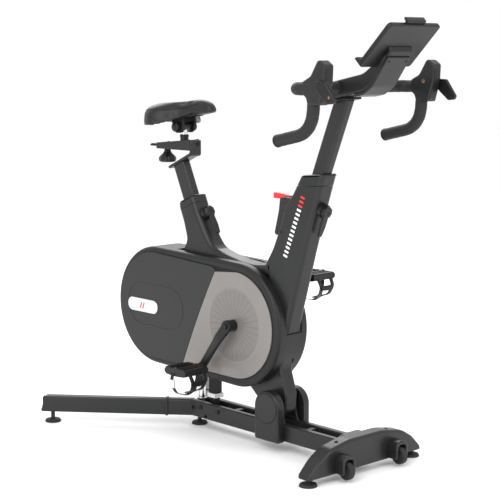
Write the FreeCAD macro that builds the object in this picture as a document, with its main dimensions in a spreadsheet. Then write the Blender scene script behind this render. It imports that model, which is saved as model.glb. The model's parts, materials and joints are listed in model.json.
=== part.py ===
import FreeCAD, Part
import math
import os
from types import SimpleNamespace

import Sketcher

# Exercise bike with a tilting frame, millimetres and degrees.
# +X points forward, +Y to the rider's left, +Z up. The floor is Z = 0.
# Lengths along X are counted from the crank axis unless a comment says otherwise.

SIZES = {
    # whole machine
    "rear_reach": 587, "front_reach": 622, "crank_height": 348,
    "tilt_ahead": 135, "tilt_height": 124,
    # base rails, legs and front stabiliser
    "rail_width": 20, "rail_depth": 50, "rail_gap": 38, "rail_bottom": 33,
    "rail_front": 420, "rail_rear": 226, "cross_plate": 8,
    "leg_splay": 41, "leg_root": 195, "leg_width": 30, "socket_reach": 118, "collar_wall": 3,
    "beam_thick": 48, "beam_half": 225, "beam_bottom": 18, "beam_top": 106,
    "wheel_radius": 25, "wheel_width": 18, "wheel_side": 106, "wheel_ahead": 489, "wheel_height": 31,
    "guard_wall": 8, "axle_radius": 4, "running_fit": 0.05, "gap": 0.5,
    "foot_radius": 25, "foot_pad": 8, "foot_stem": 6,
    "mid_foot": 226, "rear_foot": 556, "front_foot": 444, "front_foot_side": 206,
    # tilt pivot
    "pivot_radius": 10, "ear_thick": 8, "ear_radius": 26, "neck_width": 46, "neck_boss": 38,
    "cover_radius": 50, "cover_depth": 26, "cover_wall": 4,
    # shroud
    "hub_behind": 364, "hub_rise": 10, "shroud_radius": 182, "shroud_half": 60, "shroud_wall": 3,
    "shroud_round": 12, "panel_front": 156, "panel_rear": 165, "panel_thick": 4,
    "panel_split": 2910, "crank_hole": 23.5, "mouth_half": 32, "plate_thick": 8,
    # frame members
    "member_half": 31, "seat_lean": 24.5, "seat_axis_x": -257, "seat_axis_z": 694, "seat_tube_deep": 77,
    "head_lean": 22, "head_axis_x": 288, "head_axis_z": 803,
    "post_deep": 50, "post_wide": 30, "post_wall": 3, "seat_insert": 200, "seat_rise": 112,
    "head_insert": 190, "head_rise": 240,
    # crank, pedals, drive
    "crank_arm": 170, "crank_angle": 232.5, "arm_middle": 97, "arm_thick": 14, "arm_width": 28,
    "axle_crank": 10, "shell_radius": 22, "shell_half": 36, "pulley_radius": 85, "pulley_middle": 44,
    "pulley_width": 12, "belt_thick": 2.5, "belt_gap": 0.3,
    "pedal_middle": 157, "pedal_width": 92, "pedal_length": 96, "pedal_thick": 22, "spindle": 6,
    "flywheel_radius": 130, "flywheel_width": 24, "flywheel_axle": 8.5, "small_pulley": 17,
    "magnet_pin_x": -250, "magnet_pin_z": 472, "magnet_gap": 29,
    # incline post and damper
    "lift_x": -153, "lift_top": 240, "lift_foot": 42, "lift_tube": 28, "lift_wall": 3, "lift_play": 1.5,
    "lift_reach": 142, "lift_post": 125,
    "damper_x": -215, "damper_top": 250, "damper_foot": 60, "damper_radius": 19, "damper_rod": 11,
    "damper_play": 2.75, "damper_reach": 113, "damper_post": 124, "link_eye": 11, "link_pin": 5,
    # seat
    "channel_width": 40, "channel_bottom": 838, "channel_top": 872, "channel_rear": -420,
    "channel_front": -240, "channel_wall": 5, "slider_rear": -461, "slider_front": -240,
    "stem_x": -290, "stem_radius": 11, "tilt_bolt_z": 908, "saddle_bottom": 948,
    "plate_length": 107, "plate_ahead": 12, "knob_x": -370, "knob_radius": 22, "knob_height": 62,
    # handlebar and console arm
    "bar_x": 398, "bar_z": 1038, "bar_radius": 16.5, "bar_half": 210, "arm_half": 45,
    "hood_half": 17, "tray_half": 93, "tray_thick": 12, "tray_lean": 45, "clip_half": 37,
    # clamps
    "lever_reach": 547, "clamp_drop": 64, "boss_radius": 20, "boss_height": 14, "clamp_hub": 18,
    "clamp_hub_height": 14, "clamp_lever": 72,
}

DOC = FreeCAD.newDocument("exercise_bike")
NODES = []
UP = FreeCAD.Vector(0, 0, 1)


class Size:
    """A number that remembers the spreadsheet formula behind it."""

    def __init__(self, value, formula):
        self.value = value
        self.formula = formula

    def join(self, other, symbol, action):
        other = size_of(other)
        return Size(action(self.value, other.value), f"({self.formula} {symbol} {other.formula})")

    def __add__(self, other):
        return self.join(other, "+", lambda a, b: a + b)

    def __sub__(self, other):
        return self.join(other, "-", lambda a, b: a - b)

    def __mul__(self, other):
        return self.join(other, "*", lambda a, b: a * b)

    def __truediv__(self, other):
        return self.join(other, "/", lambda a, b: a / b)

    def __radd__(self, other):
        return size_of(other) + self

    def __rsub__(self, other):
        return size_of(other) - self

    def __rmul__(self, other):
        return size_of(other) * self

    def __rtruediv__(self, other):
        return size_of(other) / self

    def __neg__(self):
        return Size(-self.value, f"(0 - {self.formula})")


def size_of(amount):
    """Wrap a plain number as a Size."""
    if isinstance(amount, Size):
        return amount
    return Size(float(amount), f"({float(amount)})")


def cosine(angle):
    angle = size_of(angle)
    return Size(math.cos(math.radians(angle.value)), f"cos({angle.formula})")


def sine(angle):
    angle = size_of(angle)
    return Size(math.sin(math.radians(angle.value)), f"sin({angle.formula})")


def make_sheet():
    """Write every size into the spreadsheet and return them by name."""
    sheet = DOC.addObject("Spreadsheet::Sheet", "sizes")
    named = {}
    for row, (name, value) in enumerate(SIZES.items(), start=1):
        sheet.set(f"A{row}", str(value))
        sheet.setAlias(f"A{row}", name)
        named[name] = Size(float(value), f"sizes.{name}")
    DOC.recompute()
    return SimpleNamespace(**named)


s = make_sheet()
CRANK = (s.rear_reach - s.front_reach) / 2
HUB_X = -s.hub_behind
HUB_Z = s.crank_height + s.hub_rise


def along(x):
    """Row X of a place counted from the crank axis."""
    return CRANK + x


def bind(thing, name, amount):
    """Tie one property to its formula."""
    thing.setExpression(name, size_of(amount).formula)


def place(thing, x=0, y=0, z=0, axis=None, angle=0):
    """Put a shape at x, y, z, turned by angle about axis."""
    spot = [size_of(value) for value in (x, y, z)]
    turn = FreeCAD.Rotation(axis or UP, size_of(angle).value)
    thing.Placement = FreeCAD.Placement(FreeCAD.Vector(*[value.value for value in spot]), turn)
    for letter, value in zip("xyz", spot):
        bind(thing, f"Placement.Base.{letter}", value)
    if isinstance(angle, Size):
        bind(thing, "Placement.Rotation.Angle", angle)
    return thing


def new(kind, name):
    return DOC.addObject(kind, name)


def node(thing, label):
    """Mark a finished sub-part."""
    thing.Label = label
    NODES.append(thing)
    return thing


def box(name, x, y, z):
    """Box between two values on each axis."""
    thing = new("Part::Box", name)
    for side, (low, high) in zip(("Length", "Width", "Height"), (x, y, z)):
        bind(thing, side, size_of(high) - low)
    return place(thing, x[0], y[0], z[0])


def bar(name, x, z, lean, low, high, deep, wide, y=0):
    """Box along an axis through x, z that leans forward by lean, from low to high along it."""
    thing = new("Part::Box", name)
    bind(thing, "Length", deep)
    bind(thing, "Width", wide)
    bind(thing, "Height", size_of(high) - low)
    base_x = x + low * sine(lean) - deep / 2 * cosine(lean)
    base_z = z + low * cosine(lean) + deep / 2 * sine(lean)
    return place(thing, along(base_x), y - size_of(wide) / 2, base_z, FreeCAD.Vector(0, 1, 0), size_of(lean))


AXES = {"X": (FreeCAD.Vector(0, 1, 0), 90), "Y": (FreeCAD.Vector(1, 0, 0), -90), "Z": (UP, 0)}


def rod(name, radius, x, y, z, length, axis="Y"):
    """Cylinder from x, y, z along a row axis."""
    thing = new("Part::Cylinder", name)
    bind(thing, "Radius", radius)
    bind(thing, "Height", length)
    return place(thing, along(x), y, z, *AXES[axis])


def leaning_rod(name, radius, x, z, lean, low, high, y=0):
    """Cylinder on an axis in the XZ plane that leans forward by lean."""
    thing = new("Part::Cylinder", name)
    bind(thing, "Radius", radius)
    bind(thing, "Height", size_of(high) - low)
    turn = FreeCAD.Vector(0, 1, 0)
    return place(thing, along(x + low * sine(lean)), y, z + low * cosine(lean), turn, size_of(lean))


def across(name, radius, x, z, half, y=0):
    """Cylinder along Y, centred on y."""
    return rod(name, radius, x, y - size_of(half), z, 2 * size_of(half))


def fuse(name, parts):
    thing = new("Part::MultiFuse", name)
    thing.Shapes = parts
    thing.Refine = True
    return thing


def group(name, parts):
    thing = new("Part::Compound", name)
    thing.Links = parts
    return thing


def cut(name, base, tools):
    for number, tool in enumerate(tools):
        thing = new("Part::Cut", f"{name}_{number}")
        thing.Base = base
        thing.Tool = tool
        base = thing
    return base


def common(name, base, tool):
    thing = new("Part::Common", name)
    thing.Base = base
    thing.Tool = tool
    return thing


def pin(sketch, geometry, end, x, y):
    """Fix a sketch point at x, y."""
    for kind, amount in (("DistanceX", x), ("DistanceY", y)):
        amount = size_of(amount)
        row = sketch.addConstraint(Sketcher.Constraint(kind, -1, 1, geometry, end, amount.value))
        sketch.setExpression(f"Constraints[{row}]", amount.formula)


def new_sketch(body, name, plane, offset=None):
    """Sketch on one of the body's own origin planes."""
    sketch = body.newObject("Sketcher::SketchObject", name)
    support = [thing for thing in body.Origin.OriginFeatures if thing.Role == f"{plane}_Plane"][0]
    sketch.AttachmentSupport = [(support, "")]
    sketch.MapMode = "FlatFace"
    if offset is not None:
        bind(sketch, "AttachmentOffset.Base.z", offset)
    return sketch


def draw_polygon(sketch, points):
    """Closed outline with every corner fixed."""
    spots = [FreeCAD.Vector(size_of(x).value, size_of(y).value, 0) for x, y in points]
    count = len(spots)
    for number in range(count):
        sketch.addGeometry(Part.LineSegment(spots[number], spots[(number + 1) % count]), False)
    for number in range(count):
        sketch.addConstraint(Sketcher.Constraint("Coincident", number, 2, (number + 1) % count, 1))
    for number, (x, y) in enumerate(points):
        pin(sketch, number, 1, x, y)


def pad(body, sketch, width):
    feature = body.newObject("PartDesign::Pad", sketch.Name + "_pad")
    feature.Profile = sketch
    feature.SideType = "Symmetric"
    bind(feature, "Length", width)
    DOC.recompute()
    return feature


def fillet(body, base, edges, radius):
    """Round the given edges of the body's last feature."""
    feature = body.newObject("PartDesign::Fillet", f"{body.Name}_round_{len(body.Group)}")
    feature.Base = (base, edges)
    bind(feature, "Radius", radius)
    DOC.recompute()
    return feature


NORMALS = {"XZ": ("y", 1), "XY": ("z", 2), "YZ": ("x", 0)}


def corner_edges(shape, plane, spots):
    """Names of the edges that run along the pad through the given outline points."""
    index = NORMALS[plane][1]
    found = []
    for number, edge in enumerate(shape.Edges, start=1):
        ends = [vertex.Point for vertex in edge.Vertexes]
        if len(ends) < 2 or abs(ends[0][index] - ends[1][index]) < edge.Length * 0.99:
            continue
        flat = [ends[0][axis] for axis in range(3) if axis != index]
        if any(math.dist(flat, spot) < 0.01 for spot in spots):
            found.append(f"Edge{number}")
    return found


def rim_edges(shape, plane, sides, half):
    """Names of the edges that lie in the end faces of a symmetric pad."""
    index = NORMALS[plane][1]
    found = []
    for number, edge in enumerate(shape.Edges, start=1):
        points = [vertex.Point[index] for vertex in edge.Vertexes] + [edge.CenterOfMass[index]]
        if any(all(abs(point - side * half) < 0.01 for point in points) for side in sides):
            found.append(f"Edge{number}")
    return found


def prism(name, points, width, middle=0, plane="XZ", corners=None, rim=None, rims=(-1, 1)):
    """Outline padded to both sides of its plane; corners maps a radius to outline point numbers."""
    body = new("PartDesign::Body", name)
    sketch = new_sketch(body, name + "_outline", plane)
    draw_polygon(sketch, points)
    last = pad(body, sketch, width)
    for radius, numbers in (corners or []):
        spots = [[size_of(value).value for value in points[number]] for number in numbers]
        last = fillet(body, last, corner_edges(last.Shape, plane, spots), radius)
    if rim is not None:
        last = fillet(body, last, rim_edges(last.Shape, plane, rims, size_of(width).value / 2), rim)
    letter = NORMALS[plane][0]
    return place(body, **{letter: middle})


def side_prism(name, points, width, middle=0, **rounds):
    """Prism across the bike from an outline in the XZ plane, with X counted from the crank axis."""
    return prism(name, [(along(x), z) for x, z in points], width, middle, "XZ", **rounds)


def hull_prism(name, front, rear, width, middle=0, rim=None, rims=(-1, 1), ends=None):
    """Prism whose outline is a loop of two arcs, about the crank and hub axes, and two tangents."""
    (x1, z1), (x2, z2) = ends or ((along(0), s.crank_height), (along(HUB_X), HUB_Z))
    centres = [(size_of(x).value, size_of(z).value) for x, z in ((x1, z1), (x2, z2))]
    radii = [size_of(front).value, size_of(rear).value]
    dx, dz = centres[1][0] - centres[0][0], centres[1][1] - centres[0][1]
    span = math.hypot(dx, dz)
    heading = math.atan2(dz, dx)
    swing = math.acos((radii[0] - radii[1]) / span)
    body = new("PartDesign::Body", name)
    sketch = new_sketch(body, name + "_outline", "XZ")
    first, last = heading + swing, heading - swing
    arcs = [(0, first, last + 2 * math.pi), (1, last, first)]
    for which, start, end in arcs:
        circle = Part.Circle(FreeCAD.Vector(*centres[which], 0), UP, radii[which])
        sketch.addGeometry(Part.ArcOfCircle(circle, start, end), False)
    for angle in (first, last):
        ends_of_line = [FreeCAD.Vector(centre[0] + radius * math.cos(angle), centre[1] + radius * math.sin(angle), 0)
                        for centre, radius in zip(centres, radii)]
        sketch.addGeometry(Part.LineSegment(*ends_of_line), False)
    for line, end, arc, tip in ((2, 1, 0, 1), (2, 2, 1, 2), (3, 1, 0, 2), (3, 2, 1, 1)):
        sketch.addConstraint(Sketcher.Constraint("Tangent", line, end, arc, tip))
    for arc, (x, z), radius in ((0, (x1, z1), front), (1, (x2, z2), rear)):
        pin(sketch, arc, 3, x, z)
        row = sketch.addConstraint(Sketcher.Constraint("Radius", arc, size_of(radius).value))
        sketch.setExpression(f"Constraints[{row}]", size_of(radius).formula)
    feature = pad(body, sketch, width)
    if rim is not None:
        fillet(body, feature, rim_edges(feature.Shape, "XZ", rims, size_of(width).value / 2), rim)
    return place(body, y=middle)


def lathe(name, profile, x, y, z, axis="Z", lean=None):
    """Turned piece: profile is radius, height pairs about the piece's own axis."""
    body = new("PartDesign::Body", name)
    sketch = new_sketch(body, name + "_profile", "XZ")
    draw_polygon(sketch, profile)
    feature = body.newObject("PartDesign::Revolution", name + "_turn")
    feature.Profile = sketch
    feature.ReferenceAxis = (sketch, ["V_Axis"])
    feature.Angle = 360
    DOC.recompute()
    if lean is None:
        return place(body, along(x), y, z, *AXES[axis])
    return place(body, along(x), y, z, FreeCAD.Vector(0, 1, 0), size_of(lean))


def loft(name, plane, stations):
    """Solid through closed sections; each station is an offset from the plane and its points."""
    body = new("PartDesign::Body", name)
    sketches = []
    for number, (offset, points) in enumerate(stations):
        sketch = new_sketch(body, f"{name}_section_{number}", plane, offset)
        draw_polygon(sketch, points)
        sketches.append(sketch)
    feature = body.newObject("PartDesign::AdditiveLoft", name + "_skin")
    feature.Profile = sketches[0]
    feature.Sections = sketches[1:]
    feature.Ruled = True
    DOC.recompute()
    return body


SIDES = (("left", 1), ("right", -1))


# ---------------------------------------------------------------- base

RAIL_IN = s.rail_gap / 2
RAIL_OUT = RAIL_IN + s.rail_width
RAIL_TOP = s.rail_bottom + s.rail_depth
LEG_TIP = (s.rear_reach - s.leg_root - s.leg_width / 2 * sine(s.leg_splay)) / cosine(s.leg_splay)


def leg_box(name, side, start, end, grow):
    """Box along a rear leg's axis, grown all round by grow."""
    thing = new("Part::Box", name)
    bind(thing, "Length", size_of(end) - start)
    bind(thing, "Width", s.leg_width + 2 * size_of(grow))
    bind(thing, "Height", s.rail_depth + 2 * size_of(grow))
    turn = 180 - side * s.leg_splay
    half = s.leg_width / 2 + grow
    x = -s.leg_root - start * cosine(s.leg_splay) + side * half * sine(s.leg_splay)
    y = side * start * sine(s.leg_splay) + half * cosine(s.leg_splay)
    return place(thing, along(x), y, s.rail_bottom - grow, UP, turn)


def build_base_frame():
    """Two rails with cross plates, pivot ears and rear sockets, welded together."""
    parts = []
    for name, side in SIDES:
        inner, outer = sorted((side * RAIL_IN, side * RAIL_OUT), key=lambda value: value.value)
        parts.append(box(f"rail_{name}", (along(-s.rail_rear), along(s.rail_front)), (inner, outer),
                         (s.rail_bottom, RAIL_TOP)))
        ear_middle = side * (s.neck_width / 2 + s.gap + s.ear_thick / 2)
        ear = side_prism(f"ear_{name}", [
            (s.tilt_ahead - s.ear_radius - 12, RAIL_TOP - 4), (s.tilt_ahead + s.ear_radius + 12, RAIL_TOP - 4),
            (s.tilt_ahead + s.ear_radius, s.tilt_height), (s.tilt_ahead - s.ear_radius, s.tilt_height)],
            s.ear_thick, ear_middle)
        parts += [ear, across(f"ear_round_{name}", s.ear_radius, s.tilt_ahead, s.tilt_height,
                              s.ear_thick / 2, ear_middle)]
        parts.append(leg_box(f"socket_{name}", side, 0, s.socket_reach, 0))
    floor_plate = box("foot_plate", (along(-s.mid_foot - 24), along(-s.mid_foot + 24)), (-RAIL_IN, RAIL_IN),
                      (s.rail_bottom, s.rail_bottom + s.cross_plate / 2))
    parts.append(floor_plate)
    for number, x in enumerate((-60, 240, 395)):
        parts.append(box(f"cross_{number}", (along(x), along(x + 2 * s.cross_plate)), (-RAIL_IN, RAIL_IN),
                         (s.rail_bottom + 5, RAIL_TOP - 5)))
    parts.append(rod("mid_foot_boss", s.foot_stem + 7, -s.mid_foot, 0, s.rail_bottom - 6, 10, "Z"))
    welded = fuse("base_weld", parts)
    well = box("link_well", (along(s.damper_x - 27), along(s.lift_x + 24)), (-RAIL_IN, RAIL_IN),
               (s.rail_bottom + s.cross_plate / 2, RAIL_TOP + 5))
    holes = [across("pivot_hole", s.pivot_radius, s.tilt_ahead, s.tilt_height, 40),
             across("lift_hole", s.link_pin, s.lift_x, s.lift_foot, 60),
             across("damper_hole", s.link_pin, s.damper_x, s.damper_foot, 60),
             rod("mid_stem_hole", s.foot_stem + s.running_fit, -s.mid_foot, 0, s.rail_bottom - 8, 14, "Z")]
    node(cut("base_frame", welded, [well] + holes), "base_frame")


def build_legs():
    """Splayed rear legs that butt on the sockets, with a collar ring over each joint."""
    for name, side in SIDES:
        tube = leg_box(f"leg_tube_{name}", side, s.socket_reach, LEG_TIP, 0)
        ring = leg_box(f"leg_collar_{name}", side, s.socket_reach, s.socket_reach + 10, s.collar_wall)
        foot_x, foot_y = rear_foot(side)
        boss = rod(f"leg_boss_{name}", s.foot_stem + 7, foot_x, foot_y, s.rail_bottom - 6, 8, "Z")
        hole = rod(f"leg_hole_{name}", s.foot_stem + s.running_fit, foot_x, foot_y, s.rail_bottom - 8, 30, "Z")
        node(cut(f"rear_leg_{name}", fuse(f"leg_weld_{name}", [tube, ring, boss]), [hole]), f"rear_leg_{name}")


def rear_foot(side):
    """Foot centre on the leg's axis."""
    reach = (s.rear_foot - s.leg_root) / cosine(s.leg_splay)
    return -s.rear_foot, side * reach * sine(s.leg_splay)


def build_front_stabiliser():
    """Arched beam with two wheel guards on its front face."""
    half, top, bottom = s.beam_half, s.beam_top, s.beam_bottom
    arch = [(-half, bottom), (half, bottom), (half - 10, bottom + 22), (half - 38, top - 42), (half - 80, top - 16),
            (half * 0.3, top), (-half * 0.3, top), (80 - half, top - 16), (38 - half, top - 42),
            (10 - half, bottom + 22)]
    middle = along(s.rail_front + s.beam_thick / 2)
    parts = [prism("stabiliser_arch", arch, s.beam_thick, middle, "YZ", corners=[(4, (2, 3, 4, 5, 6, 7, 8, 9))])]
    slots = []
    for name, side in SIDES:
        y = side * s.wheel_side
        guard_half = s.wheel_width / 2 + s.guard_wall
        front = s.rail_front + s.beam_thick
        parts.append(side_prism(f"guard_{name}", [
            (front - 1, bottom + 2), (s.wheel_ahead + 8, bottom + 6), (s.wheel_ahead + 12, s.wheel_height + 4),
            (s.wheel_ahead - 4, 62), (front - 1, 72)], 2 * guard_half, y))
        slot_half = s.wheel_width / 2 + s.gap
        slots.append(across(f"wheel_slot_{name}", s.wheel_radius + 3, s.wheel_ahead, s.wheel_height, slot_half, y))
        slots.append(across(f"wheel_axle_hole_{name}", s.axle_radius, s.wheel_ahead, s.wheel_height, 40, y))
        slots.append(rod(f"front_stem_hole_{name}", s.foot_stem + s.running_fit, s.front_foot,
                         side * s.front_foot_side, bottom - 5, 26, "Z"))
    node(cut("front_stabiliser", fuse("stabiliser_body", parts), slots), "front_stabiliser")


def build_feet():
    """Levelling feet: a pad on a stem that screws up into its boss."""
    feet = {"mid": (-s.mid_foot, size_of(0), 4), "rear_left": rear_foot(1) + (14,), "rear_right": rear_foot(-1) + (14,),
            "front_left": (s.front_foot, s.front_foot_side, 14), "front_right": (s.front_foot, -s.front_foot_side, 14)}
    for name, (x, y, grip) in feet.items():
        top = s.rail_bottom - 6 + grip if not name.startswith("front") else s.beam_bottom + grip
        node(lathe(f"foot_{name}", [
            (0, 0), (s.foot_radius - 1, 0), (s.foot_radius, 2), (s.foot_radius - 3, s.foot_pad),
            (s.foot_stem + 4, s.foot_pad + 1), (s.foot_stem, s.foot_pad + 4), (s.foot_stem, top), (0, top)],
            x, y, 0), f"foot_{name}")


def build_wheels():
    for name, side in SIDES:
        half = s.wheel_width / 2
        node(lathe(f"wheel_{name}", [
            (s.axle_radius + s.running_fit, -half), (10, -half), (12, 3 - half), (s.wheel_radius - 8, 3 - half),
            (s.wheel_radius - 7, -half), (s.wheel_radius - 2, -half), (s.wheel_radius, 2 - half),
            (s.wheel_radius, half - 2), (s.wheel_radius - 2, half), (s.wheel_radius - 7, half),
            (s.wheel_radius - 8, half - 3), (12, half - 3), (10, half), (s.axle_radius + s.running_fit, half)],
            s.wheel_ahead, side * s.wheel_side, s.wheel_height, "Y"), f"transport_wheel_{name}")


def build_pivot():
    """Pivot shaft and the two rounded covers on the outside of the rails."""
    middle = s.neck_width / 2 + s.gap + s.ear_thick
    node(across("pivot_shaft", s.pivot_radius, s.tilt_ahead, s.tilt_height, middle + 6), "pivot_shaft")
    covers = []
    for name, side in SIDES:
        y = side * (RAIL_OUT + s.cover_depth / 2)
        low = s.rail_bottom - 4
        body = side_prism(f"cover_block_{name}", [
            (s.tilt_ahead - s.cover_radius, low), (s.tilt_ahead + s.cover_radius, low),
            (s.tilt_ahead + s.cover_radius, s.tilt_height), (s.tilt_ahead - s.cover_radius, s.tilt_height)],
            s.cover_depth, y)
        crown = across(f"cover_crown_{name}", s.cover_radius, s.tilt_ahead, s.tilt_height, s.cover_depth / 2, y)
        inner = across(f"cover_inside_{name}", s.cover_radius - s.cover_wall, s.tilt_ahead, s.tilt_height,
                       s.cover_depth / 2, y - side * s.cover_wall)
        covers.append(cut(f"pivot_cover_{name}", fuse(f"cover_body_{name}", [body, crown]), [inner]))
    node(group("pivot_covers", covers), "pivot_covers")


def build_base_fasteners():
    """Wheel axles, link pins and leg bolts."""
    reach = s.wheel_width / 2 + s.guard_wall
    parts = [across(f"wheel_axle_{name}", s.axle_radius, s.wheel_ahead, s.wheel_height, reach, side * s.wheel_side)
             for name, side in SIDES]
    parts.append(across("lift_pin_low", s.link_pin, s.lift_x, s.lift_foot, RAIL_OUT))
    parts.append(across("damper_pin_low", s.link_pin, s.damper_x, s.damper_foot, RAIL_OUT))
    for name, side in SIDES:
        for number, x in enumerate((-178, -100)):
            y = RAIL_OUT if side > 0 else -RAIL_OUT - 3
            parts.append(rod(f"rail_bolt_{name}_{number}", 7, x, y, 66, 3))
    node(group("base_fasteners", parts), "base_fasteners")


# ---------------------------------------------------------------- tilting frame

def shroud_hull(name, shrink, width, middle=0, **rounds):
    """Loop outline of the shroud, smaller all round by shrink."""
    radius = s.shroud_radius - shrink
    return hull_prism(name, radius, radius, width, middle, **rounds)


def build_shroud():
    """Two half shells that meet on the centre plane, open for the members, neck and links."""
    for name, side in SIDES:
        half = s.shroud_half
        outer = shroud_hull(f"shroud_outer_{name}", 0, half, side * half / 2,
                            rim=s.shroud_round, rims=(side,))
        inner = shroud_hull(f"shroud_inner_{name}", s.shroud_wall, half, side * (half / 2 - s.shroud_wall),
                            rim=s.shroud_round - s.shroud_wall, rims=(side,))
        mouth = side_prism(f"shroud_mouth_{name}", [
            (-292, 470), (170, 340), (230, 340), (230, 620), (-292, 620)], 2 * s.mouth_half)
        neck_slot = box(f"neck_slot_{name}", (along(4), along(190)),
                        (-s.neck_width / 2 - s.gap, s.neck_width / 2 + s.gap),
                        (150, 262))
        link_slot = box(f"link_slot_{name}", (along(s.damper_x - 27), along(s.lift_x + 23)), (-22, 22), (150, 215))
        hole = across(f"shroud_hole_{name}", s.crank_hole, 0, s.crank_height, 100)
        node(cut(f"shroud_{name}", outer, [inner, mouth, neck_slot, link_slot, hole]), f"shroud_{name}")


def build_panels():
    """Raised side panels: a dark rear part and a silver front part, split on a wide arc."""
    front, rear = [], []
    for name, side in SIDES:
        y = side * (s.shroud_half + s.panel_thick / 2)
        split_x = -153 + s.panel_split * 0.895
        split_z = 359 - s.panel_split * 0.444
        edge = across(f"panel_edge_{name}", s.panel_split, split_x, split_z, 100)
        plate = hull_prism(f"panel_plate_{name}", s.panel_front, s.panel_rear, s.panel_thick, y, rim=1.5, rims=(side,))
        hole = across(f"panel_hole_{name}", s.crank_hole, 0, s.crank_height, 100)
        front.append(cut(f"front_panel_{name}", common(f"front_area_{name}", plate, edge), [hole]))
        rear.append(cut(f"side_panel_{name}", plate, [edge]))
    node(group("front_panels", front), "front_panels")
    node(group("side_panels", rear), "side_panels")


def build_core_frame():
    """Welded inner frame: crank shell between two plates that carry the neck, members and hub."""
    plates = []
    outline = [(10, 196), (140, 215), (205, 350), (205, 560), (-288, 560), (-288, 480), (-396, 384), (-396, 334),
               (s.damper_x - 16, s.damper_top - 14), (s.lift_x + 20, s.lift_top - 16)]
    for name, side in SIDES:
        y = side * (s.neck_width / 2 + s.plate_thick / 2)
        plate = side_prism(f"core_plate_{name}", outline, s.plate_thick, y)
        plates.append(common(f"core_area_{name}", plate, shroud_hull(f"core_edge_{name}", s.shroud_wall + s.gap, 100)))
    shell = across("crank_shell", s.shell_radius, 0, s.crank_height, s.shell_half)
    spacer = across("plate_spacer", 9, 40, 480, s.neck_width / 2)
    welded = fuse("core_weld", plates + [shell, spacer])
    holes = [across("shell_bore", s.shell_radius - 3, 0, s.crank_height, 60),
             across("hub_hole", 14, HUB_X, HUB_Z, 60),
             across("lift_top_hole", s.link_pin, s.lift_x, s.lift_top, 60),
             across("damper_top_hole", s.link_pin, s.damper_x, s.damper_top, 60),
             across("magnet_hole", s.axle_radius, s.magnet_pin_x, s.magnet_pin_z, 60)]
    node(cut("core_frame", welded, holes), "core_frame")


def build_neck():
    """Cast neck from the tilt pivot up between the core plates."""
    block = side_prism("neck_block", [
        (23, 169), (57, 139), (s.tilt_ahead - 32, s.tilt_height + 20), (s.tilt_ahead + 36, s.tilt_height + 12),
        (174, 166), (146, 244), (118, 292), (34, 292), (14, 210)], s.neck_width, corners=[(10, (0, 1, 4))])
    boss = across("neck_boss", s.neck_boss, s.tilt_ahead, s.tilt_height, s.neck_width / 2)
    bore = across("neck_bore", s.pivot_radius + 4, s.tilt_ahead, s.tilt_height, 60)
    node(cut("frame_neck", fuse("neck_body", [block, boss]), [bore]), "frame_neck")


def member_cut(name):
    """Space of the shroud and core under a member."""
    return shroud_hull(name, s.shroud_wall + s.gap, 200)


def post_bore(name, x, z, lean, depth):
    return bar(name, x, z, lean, -depth, 60, s.post_deep + 2 * s.gap, s.post_wide + 2 * s.gap)


def build_front_tube():
    """Wedge shaped front tube with the stop lever housing on its back."""
    wide = 2 * s.member_half
    tube = side_prism("front_wedge", [
        (181, 350), (268, 645), (310, 770), (214, 766), (198, 738), (168, 704), (150, 647), (118, 580), (88, 532),
        (60, 470), (140, 350)], wide, rim=8)
    housing = side_prism("lever_housing", [(118, 600), (190, 620), (205, 732), (140, 732), (136, 690)], 40)
    housing_slot = box("lever_slot", (along(100), along(178)), (-7, 7), (712, 740))
    tools = [member_cut("front_tube_seat"), housing_slot, across("stop_pin_seat", 3, 164, 726, 24),
             post_bore("head_bore", s.head_axis_x, s.head_axis_z, s.head_lean, s.head_insert + 105)]
    node(cut("front_tube", fuse("front_body", [tube, housing]), tools), "front_tube")


def build_top_beam():
    """Short beam that closes the V of the frame over the shroud."""
    outline = [(86, 532), (40, 526), (-23, 532), (-93, 546), (-124, 556), (-144, 573), (-164, 603), (-188, 560),
               (-150, 470), (60, 470)]
    block = side_prism("beam_block", outline, 2 * s.member_half)
    clear = [post_bore("beam_bore", s.seat_axis_x, s.seat_axis_z, -s.seat_lean, 300), member_cut("beam_seat")]
    front = side_prism("beam_front_edge", [(88, 532), (60, 470), (260, 400), (260, 600)], 100)
    node(cut("top_beam", block, clear + [front]), "top_beam")


def build_seat_tube():
    """Leaning seat tube cover above the shroud."""
    tube = bar("seat_cover", s.seat_axis_x, s.seat_axis_z, -s.seat_lean, -270, -25, s.seat_tube_deep, 2 * s.member_half)
    beam_side = side_prism("seat_front_edge", [(-164, 603), (-188, 560), (-150, 470), (0, 400), (0, 640)], 100)
    tools = [member_cut("seat_tube_seat"), beam_side,
             post_bore("seat_bore", s.seat_axis_x, s.seat_axis_z, -s.seat_lean, 300)]
    node(cut("seat_tube", tube, tools), "seat_tube")


def build_collars():
    """Top caps of the seat and front tubes."""
    seat = bar("seat_collar_block", s.seat_axis_x, s.seat_axis_z, -s.seat_lean, -25, 0, s.seat_tube_deep,
               2 * s.member_half)
    head = side_prism("head_collar_block", [(214, 766), (310, 770), (322, 803), (233, 794)], 2 * s.member_half)
    collars = [cut("seat_collar", seat, [post_bore("seat_cap_bore", s.seat_axis_x, s.seat_axis_z, -s.seat_lean, 40)]),
               cut("head_collar", head, [post_bore("head_cap_bore", s.head_axis_x, s.head_axis_z, s.head_lean, 60)])]
    node(group("tube_collars", collars), "tube_collars")


def ring(name, outer, inner, x, z, half, y):
    return cut(name, across(f"{name}_disc", outer, x, z, half, y), [across(f"{name}_bore", inner, x, z, 2 * half, y)])


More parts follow.
